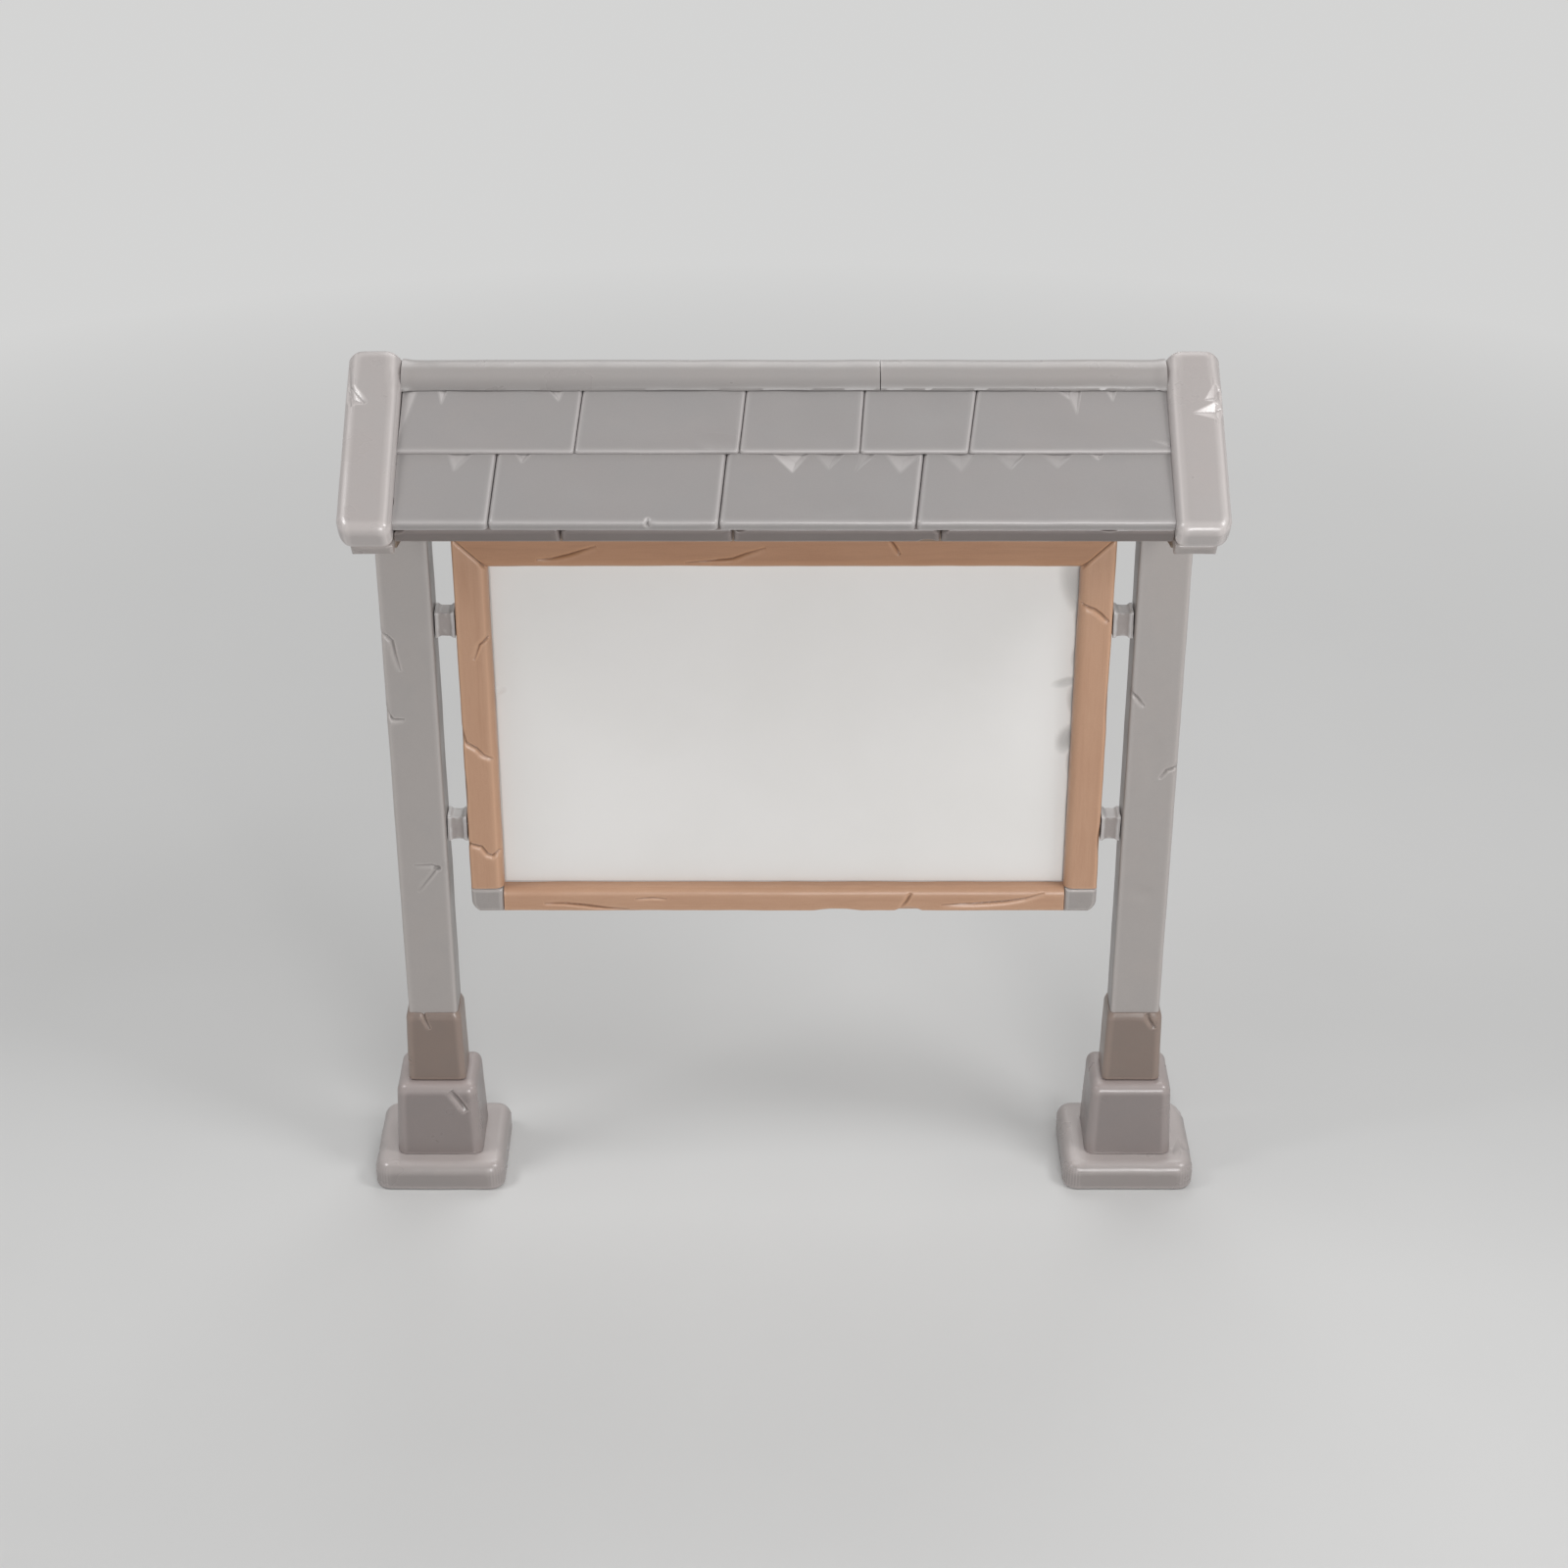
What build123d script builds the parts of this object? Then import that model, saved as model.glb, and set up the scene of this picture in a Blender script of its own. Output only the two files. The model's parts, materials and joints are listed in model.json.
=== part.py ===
from build123d import *
import math
import os

# Notice board with a small gabled roof: two stone posts on stepped feet carry a framed board,
# and a pitched roof of stone tiles runs from post to post.
# Millimetres. +Z is up, the front looks along -Y, and the origin lies on the ground below the
# middle of the board. Side -1 is the front slope of the roof and +1 the back one.

# Clearances
joint_gap = 0.3
bolt_gap = 0.5
thread_gap = 0.15
cut_overrun = 5.0

# Foot slab
slab_width = 328.0
slab_depth = 292.0
slab_height = 76.0
slab_round = 19.0

# Ground anchor holes in the underside of each foot slab
anchor_hole_diameter = 20.0
anchor_hole_depth = 52.0
anchor_spacing_y = 220.0

# Plinth block
plinth_width = 200.0
plinth_depth = 172.0
plinth_height = 200.0
plinth_round = 16.0

# Post
post_width = 124.0
post_depth = 95.0
post_round = 9.0

# Boot: the metal shoe round the foot of the post
boot_height = 198.0
boot_bevel_height = 20.0
boot_wall_foot = 11.0
boot_wall_shoulder = 7.0
boot_wall_lip = 2.0
boot_web = 38.0
boot_round = 10.0

# Tie rod that clamps slab, plinth and boot, and runs up into the post
rod_diameter = 20.0
rod_grip_in_post = 380.0
rod_tail = 4.0
rod_nut_across_flats = 30.0
rod_nut_height = 18.0
rod_flange_diameter = 45.0
rod_flange_thickness = 4.0
rod_recess_diameter = 64.0
rod_recess_depth = 32.0

# Frame of the board
frame_outer_half_width = 757.5
frame_bottom_z = 760.0
frame_height = 1004.0
frame_depth = 68.0
stile_width = 81.5
bottom_rail_height = 66.0
frame_inner_round = 18.0
frame_outer_round = 7.0
frame_back_round = 4.0

# Rebate in the back of the frame, with the panel, the backing board and the beads in it
panel_recess = 37.0
rebate_width = 14.0
panel_thickness = 8.0
backing_thickness = 12.0
bead_pin_diameter = 3.0
bead_pin_grip = 16.0
bead_pins_long = 5
bead_pins_short = 3

# Corner blocks at the two lower corners, with the tenons that they hold
corner_block_width = 78.0
corner_round = 7.0
corner_inner_round = 4.0
stile_tenon_width = 40.0
rail_tenon_height = 34.0
tenon_length = 36.0
tenon_thickness = 16.0
stile_tenon_y = -16.0
rail_tenon_y = 4.0
corner_screw_diameter = 5.0
corner_screw_head_diameter = 11.0
corner_screw_head_height = 4.0
corner_screw_grip = 10.0

# Dowels across the two mitres of the frame
mitre_dowel_diameter = 12.0
mitre_dowel_length = 50.0
mitre_dowel_y = -12.0
mitre_dowel_place_shares = (0.36, 0.66)

# Brackets between the posts and the frame
bracket_length = 48.0
bracket_height = 70.0
bracket_depth = 58.0
bracket_waist = 3.0
bracket_flange = 9.0
bracket_round = 6.0
bracket_spacing_z = 546.0
bracket_lift = 2.0
bolt_diameter = 12.0
bolt_head_across_flats = 19.0
bolt_head_height = 10.0
bolt_flange_diameter = 28.0
bolt_flange_thickness = 3.0
bolt_recess_diameter = 34.0
bolt_recess_depth = 22.0
bolt_reach_in_stile = 45.5
barrel_nut_diameter = 16.0
barrel_nut_length = 45.0
barrel_nut_edge = 35.5

# Roof planes. Depths are measured square to the slope, from the top of the barge caps.
roof_over_frame = 436.0
roof_pitch = 32.4
cap_apex_round = 27.0

# Barge caps over the two gable ends
cap_over_post = 35.5
cap_width = 119.0
cap_thickness = 80.0
cap_length = 470.0
cap_round = 14.0

# Rafters under the caps
rafter_inset = 2.0
rafter_width = 94.0
rafter_thickness = 37.0
rafter_setback = 8.0
rafter_round = 4.0

# Dowels that pin each cap through its rafter to the gable plate
cap_dowel_diameter = 12.0
cap_dowel_in_cap = 35.0
cap_dowel_in_plate = 30.0
cap_dowel_along_share = 0.42

# Gable plates: arms let into the heads of the posts
plate_thickness = 40.0
plate_reach = 285.0
plate_tip_height = 26.0
plate_root_drop = 400.0

# Deck slabs that carry the tiles
deck_depth = 50.0
deck_thickness = 50.0
deck_setback = 31.0
deck_round = 6.0
deck_joint = 3.0
deck_side_gap = 0.3
deck_joint_shares = (-0.574, -0.131, 0.402)

# Tiles: two courses on each slope, the upper one rebated over the lower one
tile_nose_depth = 24.0
tile_step = 9.0
tile_setback = 33.0
lower_course_share = 8 / 19
tile_lap = 46.0
tile_head_reach = 30.0
tile_joint = 4.0
tile_corner_round = 10.0
tile_edge_round = 5.0
upper_joint_head_shares = (-0.529, -0.101, 0.2085, 0.503)
upper_joint_nose_shares = (-0.539, -0.112, 0.2, 0.481)
lower_joint_head_shares = (-0.744, -0.148, 0.364)
lower_joint_nose_shares = (-0.754, -0.165, 0.34)

# Pins through the heads of the tiles
tile_pin_diameter = 6.0
tile_pin_grip = 28.0
tile_pin_sink = 0.6
tile_pin_place_shares = (0.22, 0.78)

# Ridge roll
ridge_roll_radius = 60.0
ridge_roll_drop = 83.0
ridge_roll_joint_share = 0.252
ridge_roll_wing = 55.0

# Ridge beam and eave purlins
ridge_beam_width = 60.0
ridge_beam_drop = 240.0
ridge_tenon_thickness = 30.0
ridge_tenon_length = 28.0
ridge_tenon_shoulder = 15.0
ridge_tenon_height = 65.0
purlin_width = 50.0
purlin_height = 55.0
purlin_from_eave = 64.0
purlin_tenon_length = 30.0
purlin_tenon_width = 36.0
purlin_tenon_height = 23.0
purlin_tenon_depth = 25.0

# Worked out from the sizes above
pitch = math.radians(roof_pitch)
frame_top_z = frame_bottom_z + frame_height
roof_top_z = frame_top_z + roof_over_frame
apex_z = roof_top_z + cap_apex_round * (1 / math.cos(pitch) - 1)
post_inner_x = frame_outer_half_width + bracket_length
post_centre_x = post_inner_x + post_width / 2
post_outer_x = post_inner_x + post_width
cap_inner_x = post_inner_x + cap_over_post
plate_root_z = roof_top_z - plate_root_drop
ridge_roll_centre_z = roof_top_z - ridge_roll_drop
ridge_beam_bottom_z = roof_top_z - ridge_beam_drop
plinth_bottom_z = slab_height + joint_gap
plinth_top_z = plinth_bottom_z + plinth_height
boot_bottom_z = plinth_top_z + joint_gap
post_bottom_z = boot_bottom_z + boot_web + joint_gap
opening_half_width = frame_outer_half_width - stile_width
opening_bottom_z = frame_bottom_z + bottom_rail_height
opening_top_z = frame_top_z - stile_width
frame_front_y = -frame_depth / 2
frame_back_y = frame_depth / 2
panel_front_y = frame_front_y + panel_recess
backing_front_y = panel_front_y + panel_thickness + joint_gap
bead_front_y = backing_front_y + backing_thickness + joint_gap
bead_back_y = frame_back_y - joint_gap
bead_width = rebate_width - joint_gap
corner_inner_x = frame_outer_half_width - corner_block_width
bolt_recess_floor_x = post_outer_x - bolt_recess_depth
barrel_nut_x = frame_outer_half_width - barrel_nut_edge
rafter_inner_x = cap_inner_x + rafter_inset
rafter_depth = cap_thickness + joint_gap
rafter_bottom_depth = rafter_depth + rafter_thickness
head_depth = rafter_bottom_depth + joint_gap
plate_outer_x = rafter_inner_x + plate_thickness
deck_bottom_depth = deck_depth + deck_thickness
beam_depth = deck_bottom_depth + joint_gap
tile_bottom_depth = deck_depth - joint_gap
lower_nose_along = cap_length - tile_setback
tile_exposure = lower_nose_along * lower_course_share
upper_nose_along = lower_nose_along - tile_exposure
lower_head_along = upper_nose_along - tile_lap
tile_tilt = tile_step / tile_exposure
purlin_along = cap_length - deck_setback - purlin_from_eave
purlin_tenon_top = beam_depth + purlin_tenon_depth
roof_half_length = cap_inner_x - deck_side_gap
bracket_middle_z = frame_bottom_z + frame_height / 2 + bracket_lift
bracket_z = (bracket_middle_z - bracket_spacing_z / 2, bracket_middle_z + bracket_spacing_z / 2)


def slope_point(along, deep, side):
    """A point (y, z) that lies so far down the slope and so deep under the caps' top plane."""
    y = side * (along * math.cos(pitch) - deep * math.sin(pitch))
    z = apex_z - along * math.sin(pitch) - deep * math.cos(pitch)
    return (y, z)


def along_at(reach, deep):
    """How far down the slope a point of this depth lies, at this distance from the ridge line."""
    return (reach + deep * math.sin(pitch)) / math.cos(pitch)


def plane_z(reach, deep):
    """The height of a plane of this depth, at this distance from the ridge line."""
    return apex_z - reach * math.tan(pitch) - deep / math.cos(pitch)


def prism_along_x(points, x_low, x_high):
    """A solid with an outline of (y, z) points, from one x to another."""
    face = make_face(Plane.YZ * Polyline(*points, close=True))
    return Pos(x_low, 0, 0) * extrude(face, x_high - x_low, dir=(1, 0, 0))


def slope_prism(outline, x_low, x_high, side):
    """A solid on one slope, with an outline of (along, deep) points."""
    return prism_along_x([slope_point(along, deep, side) for along, deep in outline], x_low, x_high)


def under_roof(deep, reach, low_z, x_low, x_high):
    """A solid from a level up to the two planes of a depth."""
    points = [
        (-reach, low_z),
        (-reach, plane_z(reach, deep)),
        (0, plane_z(0, deep)),
        (reach, plane_z(reach, deep)),
        (reach, low_z),
    ]
    return prism_along_x(points, x_low, x_high)


def chevron(deep_top, deep_bottom, length, x_low, x_high):
    """A solid that goes over the ridge and down both slopes, cut square to each slope."""
    points = [
        slope_point(length, deep_bottom, -1),
        slope_point(length, deep_top, -1),
        (0, plane_z(0, deep_top)),
        slope_point(length, deep_top, 1),
        slope_point(length, deep_bottom, 1),
        (0, plane_z(0, deep_bottom)),
    ]
    return prism_along_x(points, x_low, x_high)


def slope_direction(side):
    """The direction straight down into the roof, square to a slope."""
    return Vector(0, -side * math.sin(pitch), -math.cos(pitch))


def slope_pin(x, along, deep_top, deep_bottom, radius, side):
    """A round pin square to the slope, between two depths."""
    y, z = slope_point(along, deep_top, side)
    start = Plane(origin=(x, y, z), z_dir=slope_direction(side))
    return extrude(start * Circle(radius), deep_bottom - deep_top)


def rod_along(axis, x, y, z, length, radius):
    """A round rod from a point along +X, +Y or +Z."""
    directions = {"X": (1, 0, 0), "Y": (0, 1, 0), "Z": (0, 0, 1)}
    return extrude(Plane(origin=(x, y, z), z_dir=directions[axis]) * Circle(radius), length)


def block(x_low, x_high, y_low, y_high, z_low, z_high):
    """A rectangular block between its lowest and highest corners."""
    solid = Box(x_high - x_low, y_high - y_low, z_high - z_low, align=Align.MIN)
    return Pos(x_low, y_low, z_low) * solid


def soft_block(width, depth, height, radius):
    """A standing block with every edge rounded but those of its underside."""
    solid = Box(width, depth, height, align=(Align.CENTER, Align.CENTER, Align.MIN))
    edges = solid.edges().filter_by(Axis.Z) + solid.faces().sort_by(Axis.Z)[-1].edges()
    return fillet(edges, radius)


def hex_head(across_flats, height):
    """A hexagonal head or nut that stands on the XY plane."""
    return extrude(RegularPolygon(across_flats / 2, 6, major_radius=False), height)


def mirrored(solid):
    """The same piece on the other side of the board."""
    return mirror(solid, about=Plane.YZ)


def both_sides(solid):
    """A piece and its mirror image, as one group of separate solids."""
    return as_group([solid, mirrored(solid)])


def as_group(solids):
    """Separate solids kept together under one name."""
    return Compound(children=[piece for solid in solids for piece in solid.solids()])


# Feet


def foot_slab():
    """The ground slab, with a recess for the rod's nut and two blind anchor holes below."""
    slab = soft_block(slab_width, slab_depth, slab_height, slab_round)
    slab -= rod_along("Z", 0, 0, -cut_overrun, rod_recess_depth + cut_overrun, rod_recess_diameter / 2)
    slab -= rod_along("Z", 0, 0, 0, slab_height + cut_overrun, rod_diameter / 2 + bolt_gap)
    for side in (-1, 1):
        y = side * anchor_spacing_y / 2
        depth = anchor_hole_depth + cut_overrun
        slab -= rod_along("Z", 0, y, -cut_overrun, depth, anchor_hole_diameter / 2)
    return Pos(post_centre_x, 0, 0) * slab


def plinth_block():
    """The block that stands on the slab."""
    block_solid = soft_block(plinth_width, plinth_depth, plinth_height, plinth_round)
    bore_length = plinth_height + 2 * cut_overrun
    block_solid -= rod_along("Z", 0, 0, -cut_overrun, bore_length, rod_diameter / 2 + bolt_gap)
    return Pos(post_centre_x, 0, plinth_bottom_z) * block_solid


def boot_section(height, wall):
    """The outline of the boot at a height, so much wider than the post on every side."""
    outline = RectangleRounded(post_width + 2 * wall, post_depth + 2 * wall, boot_round)
    return Pos(0, 0, height) * outline


def post_boot():
    """The shoe: a flared box with a bevelled lip, a socket for the post and a web under it."""
    shoulder = boot_height - boot_bevel_height
    sections = [
        boot_section(0, boot_wall_foot),
        boot_section(shoulder, boot_wall_shoulder),
        boot_section(boot_height, boot_wall_lip),
    ]
    boot = loft(sections, ruled=True)
    socket_width = post_width + 2 * joint_gap
    socket_depth = post_depth + 2 * joint_gap
    socket = RectangleRounded(socket_width, socket_depth, post_round + joint_gap)
    boot -= Pos(0, 0, boot_web) * extrude(socket, boot_height)
    boot -= rod_along("Z", 0, 0, -cut_overrun, boot_web + 2 * cut_overrun, rod_diameter / 2 + bolt_gap)
    return Pos(post_centre_x, 0, boot_bottom_z) * boot


def tie_rod():
    """The threaded rod, from inside the slab's recess up into the post."""
    low = rod_recess_depth - rod_flange_thickness - rod_nut_height - rod_tail
    length = post_bottom_z + rod_grip_in_post - low
    return rod_along("Z", post_centre_x, 0, low, length, rod_diameter / 2)


def tie_rod_nut():
    """The flanged nut in the slab's recess, bearing up against its roof."""
    height = rod_nut_height + rod_flange_thickness
    low = rod_recess_depth - joint_gap - height
    nut = hex_head(rod_nut_across_flats, rod_nut_height)
    nut += rod_along("Z", 0, 0, rod_nut_height, rod_flange_thickness, rod_flange_diameter / 2)
    nut -= rod_along("Z", 0, 0, -cut_overrun, height + 2 * cut_overrun, rod_diameter / 2 + thread_gap)
    return Pos(post_centre_x, 0, low) * nut


# Posts


def post():
    """The post, with its sloped head, the slot for the gable plate and its bores."""
    outline = RectangleRounded(post_width, post_depth, post_round)
    shaft = Pos(post_centre_x, 0, post_bottom_z) * extrude(outline, roof_top_z - post_bottom_z)
    low_x = post_inner_x - cut_overrun
    shaft &= under_roof(head_depth, post_depth, 0, low_x, post_outer_x + cut_overrun)
    slot_low = rafter_inner_x - joint_gap
    slot_high = plate_outer_x + joint_gap
    slot_floor = plate_root_z - joint_gap
    shaft -= block(slot_low, slot_high, -post_depth, post_depth, slot_floor, roof_top_z)
    rod_bore = rod_grip_in_post + 2 * cut_overrun
    rod_start = post_bottom_z - cut_overrun
    shaft -= rod_along("Z", post_centre_x, 0, rod_start, rod_bore, rod_diameter / 2 + bolt_gap)
    shaft -= ridge_tenon(joint_gap)
    for z in bracket_z:
        shaft -= rod_along("X", low_x, 0, z, post_width + 2 * cut_overrun, bolt_diameter / 2 + bolt_gap)
        recess = bolt_recess_depth + cut_overrun
        shaft -= rod_along("X", bolt_recess_floor_x, 0, z, recess, bolt_recess_diameter / 2)
    return shaft


def ridge_tenon(gap):
    """The tenon at the end of the ridge beam, or with a gap the mortise for it."""
    half = ridge_tenon_thickness / 2 + gap
    low_z = ridge_beam_bottom_z + ridge_tenon_shoulder - gap
    high_z = low_z + ridge_tenon_height + 2 * gap
    high_x = post_inner_x + ridge_tenon_length + gap
    return block(post_inner_x - joint_gap, high_x, -half, half, low_z, high_z)


# Frame of the board


def frame_section(width):
    """The section of a member: outer edge at 0, inner edge at its width, front at the front face."""
    shoulder = width - rebate_width
    corners = Polyline(
        (0, frame_front_y),
        (width, frame_front_y),
        (width, panel_front_y),
        (shoulder, panel_front_y),
        (shoulder, frame_back_y),
        (0, frame_back_y),
        close=True,
    )
    section = make_face(corners)
    points = section.vertices()
    section = fillet(pick_point(points, width, frame_front_y), frame_inner_round)
    points = section.vertices()
    section = fillet(pick_point(points, 0, frame_front_y), frame_outer_round)
    points = section.vertices()
    return fillet(pick_point(points, 0, frame_back_y), frame_back_round)


def pick_point(points, x, y):
    """The corner of a flat outline that is nearest to a place."""
    return points.sort_by_distance((x, y, 0))[0]


def upright_member(width, low_z, high_z):
    """A member that stands upright at the board's right side, with its outer edge outwards."""
    plane = Plane(origin=(frame_outer_half_width, 0, low_z), x_dir=(-1, 0, 0), z_dir=(0, 0, -1))
    return extrude(plane * frame_section(width), high_z - low_z, dir=(0, 0, 1))


def level_member(width, edge_z, inwards, half_length):
    """A member along X whose outer edge is at a height and whose inner edge looks inwards."""
    plane = Plane(origin=(-half_length, 0, edge_z), x_dir=(0, 0, inwards), z_dir=(-inwards, 0, 0))
    return extrude(plane * frame_section(width), 2 * half_length, dir=(1, 0, 0))


def mitre_height(x, offset):
    """The height of the right-hand mitre at x, moved up by an offset."""
    return opening_top_z + x - opening_half_width + offset


def outline_across_board(points):
    """A slab through the whole depth of the frame, with an outline of (x, z) points."""
    face = make_face(Plane.XZ * Polyline(*points, close=True))
    return extrude(face, frame_depth, both=True)


def mitre_dowel_centres():
    """The middle of each dowel across the right-hand mitre, as (x, z)."""
    centres = []
    for share in mitre_dowel_place_shares:
        step = stile_width * share
        centres.append((frame_outer_half_width - step, frame_top_z - step))
    return centres


def mitre_dowel_pair(gap):
    """The two dowels across the right-hand mitre, or with a gap the bores for them."""
    dowels = []
    half = mitre_dowel_length / 2 + gap
    reach = half / math.sqrt(2)
    for x, z in mitre_dowel_centres():
        start = Plane(origin=(x - reach, mitre_dowel_y, z + reach), z_dir=(1, 0, -1))
        dowels.append(extrude(start * Circle(mitre_dowel_diameter / 2 + gap), 2 * half))
    return dowels


def bead_pin_places():
    """Where the pins of the beads are: along each long bead, and up each side bead."""
    along = [
        opening_half_width * (2 * (index + 1) / (bead_pins_long + 1) - 1)
        for index in range(bead_pins_long)
    ]
    clear_height = opening_top_z - opening_bottom_z
    up = [
        opening_bottom_z + clear_height * (index + 1) / (bead_pins_short + 1)
        for index in range(bead_pins_short)
    ]
    return along, up


def bead_pins(gap):
    """The pins that hold the beads: top and bottom ones stand, side ones lie along X."""
    y = (bead_front_y + bead_back_y) / 2
    radius = bead_pin_diameter / 2 + gap
    length = rebate_width + bead_pin_grip + gap
    along, up = bead_pin_places()
    top = [rod_along("Z", x, y, opening_top_z, length, radius) for x in along]
    bottom = [rod_along("Z", x, y, opening_bottom_z - length, length, radius) for x in along]
    right = [rod_along("X", opening_half_width, y, z, length, radius) for z in up]
    left = [mirrored(pin) for pin in right]
    return {"top": top, "bottom": bottom, "right": right, "left": left}


def stile_tenon(gap):
    """The tenon at the foot of the right-hand stile, or with a gap the mortise for it."""
    middle_x = frame_outer_half_width - corner_block_width / 2
    half_width = stile_tenon_width / 2 + gap
    half_thickness = tenon_thickness / 2 + gap
    low_y = stile_tenon_y - half_thickness
    high_y = stile_tenon_y + half_thickness
    low_z = opening_bottom_z - tenon_length - gap
    high_z = opening_bottom_z + joint_gap
    return block(middle_x - half_width, middle_x + half_width, low_y, high_y, low_z, high_z)


def rail_tenon(gap):
    """The tenon at the right end of the bottom rail, or with a gap the mortise for it."""
    middle_z = frame_bottom_z + (bottom_rail_height - rebate_width) / 2
    half_height = rail_tenon_height / 2 + gap
    half_thickness = tenon_thickness / 2 + gap
    low_y = rail_tenon_y - half_thickness
    high_y = rail_tenon_y + half_thickness
    low_x = corner_inner_x - joint_gap
    high_x = corner_inner_x + tenon_length + gap
    return block(low_x, high_x, low_y, high_y, middle_z - half_height, middle_z + half_height)


def corner_screw_places():
    """For each screw of the right corner block: x, z and how deep into the frame it reaches."""
    tenon_middle_x = frame_outer_half_width - corner_block_width / 2
    rail_x = corner_inner_x + tenon_length / 2
    rail_z = frame_bottom_z + (bottom_rail_height - rebate_width) / 2
    stile_x = tenon_middle_x + stile_tenon_width / 4
    stile_z = opening_bottom_z - tenon_length / 3
    return [(rail_x, rail_z, rail_tenon_y), (stile_x, stile_z, stile_tenon_y)]


def corner_screw_shafts(gap):
    """The shafts of the right block's screws, or with a gap the bores for them."""
    shafts = []
    for x, z, middle_y in corner_screw_places():
        low_y = middle_y - tenon_thickness / 2 + joint_gap
        low_y = low_y + (tenon_thickness - corner_screw_grip) / 2 - gap
        length = frame_back_y - corner_screw_head_height - low_y
        shafts.append(rod_along("Y", x, low_y, z, length, corner_screw_diameter / 2 + gap))
    return shafts


def corner_screw_heads(gap, overrun):
    """The heads of the right block's screws, or with a gap and an overrun the recesses for them."""
    radius = corner_screw_head_diameter / 2 + gap
    low_y = frame_back_y - corner_screw_head_height - gap
    length = corner_screw_head_height + gap + overrun
    return [rod_along("Y", x, low_y, z, length, radius) for x, z, middle_y in corner_screw_places()]


def stile():
    """The right-hand stile: mitred at the top, with a tenon down into the corner block."""
    low = opening_bottom_z + joint_gap
    inner = opening_half_width - cut_overrun
    outer = frame_outer_half_width + cut_overrun
    offset = -joint_gap / math.sqrt(2)
    region = [
        (inner, low),
        (outer, low),
        (outer, mitre_height(outer, offset)),
        (inner, mitre_height(inner, offset)),
    ]
    piece = upright_member(stile_width, low, frame_top_z) & outline_across_board(region)
    piece += stile_tenon(0)
    for cutter in mitre_dowel_pair(joint_gap) + corner_screw_shafts(joint_gap):
        piece -= cutter
    for z in bracket_z:
        start = frame_outer_half_width - bolt_reach_in_stile - joint_gap
        length = bolt_reach_in_stile + cut_overrun
        piece -= rod_along("X", start, 0, z, length, bolt_diameter / 2 + bolt_gap)
        piece -= barrel_nut_body(z, joint_gap, cut_overrun)
    for pin in bead_pins(joint_gap)["right"]:
        piece -= pin
    return piece


def top_rail():
    """The top rail, mitred at both ends."""
    inner = opening_half_width - cut_overrun
    outer = frame_outer_half_width + cut_overrun
    offset = joint_gap / math.sqrt(2)
    region = [
        (-outer, mitre_height(outer, offset)),
        (outer, mitre_height(outer, offset)),
        (inner, mitre_height(inner, offset)),
        (-inner, mitre_height(inner, offset)),
    ]
    rail = level_member(stile_width, frame_top_z, -1, frame_outer_half_width)
    rail &= outline_across_board(region)
    for dowel in mitre_dowel_pair(joint_gap):
        rail -= dowel
        rail -= mirrored(dowel)
    for pin in bead_pins(joint_gap)["top"]:
        rail -= pin
    return rail


def bottom_rail():
    """The bottom rail, with a tenon at each end into the corner blocks."""
    rail = level_member(bottom_rail_height, frame_bottom_z, 1, corner_inner_x - joint_gap)
    for tenon in (rail_tenon(0), mirrored(rail_tenon(0))):
        rail += tenon
    for pin in bead_pins(joint_gap)["bottom"]:
        rail -= pin
    for shaft in corner_screw_shafts(joint_gap)[:1]:
        rail -= shaft
        rail -= mirrored(shaft)
    return rail


def corner_block():
    """The metal block at the lower right corner, with its mortises and screw bores."""
    piece = block(
        corner_inner_x, frame_outer_half_width, frame_front_y, frame_back_y, frame_bottom_z, opening_bottom_z
    )
    upright = piece.edges().filter_by(Axis.Y)
    piece = fillet(upright.sort_by_distance((frame_outer_half_width, 0, frame_bottom_z))[0], corner_round)
    front = piece.faces().sort_by(Axis.Y)[0]
    piece = fillet(front.edges(), corner_inner_round)
    rebate_x = opening_half_width + rebate_width + joint_gap
    rebate_z = opening_bottom_z - rebate_width - joint_gap
    top_z = opening_bottom_z + cut_overrun
    low_x = corner_inner_x - cut_overrun
    piece -= block(low_x, rebate_x, panel_front_y - joint_gap, frame_depth, rebate_z, top_z)
    piece -= stile_tenon(joint_gap)
    piece -= rail_tenon(joint_gap)
    for cutter in corner_screw_shafts(joint_gap) + corner_screw_heads(joint_gap, cut_overrun):
        piece -= cutter
    return piece


def mitre_dowels():
    """The dowels of both mitres."""
    return as_group([part for dowel in mitre_dowel_pair(0) for part in (dowel, mirrored(dowel))])


def corner_screws():
    """The screws of both corner blocks, put in from the back."""
    screws = []
    for shaft, head in zip(corner_screw_shafts(0), corner_screw_heads(0, 0)):
        screws.append(shaft + head)
    return as_group([part for screw in screws for part in (screw, mirrored(screw))])


# Panel, backing board and beads


def rebate_sheet(front_y, thickness):
    """A sheet that fills the rebate from side to side."""
    half = opening_half_width + rebate_width - joint_gap
    low_z = opening_bottom_z - rebate_width + joint_gap
    high_z = opening_top_z + rebate_width - joint_gap
    return block(-half, half, front_y, front_y + thickness, low_z, high_z)


def bead_top():
    """The bead along the top of the rebate."""
    half = opening_half_width + rebate_width - joint_gap
    bead = block(-half, half, bead_front_y, bead_back_y, opening_top_z, opening_top_z + bead_width)
    for pin in bead_pins(joint_gap / 2)["top"]:
        bead -= pin
    return bead


def bead_bottom():
    """The bead along the bottom of the rebate."""
    half = opening_half_width + rebate_width - joint_gap
    bead = block(-half, half, bead_front_y, bead_back_y, opening_bottom_z - bead_width, opening_bottom_z)
    for pin in bead_pins(joint_gap / 2)["bottom"]:
        bead -= pin
    return bead


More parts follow.
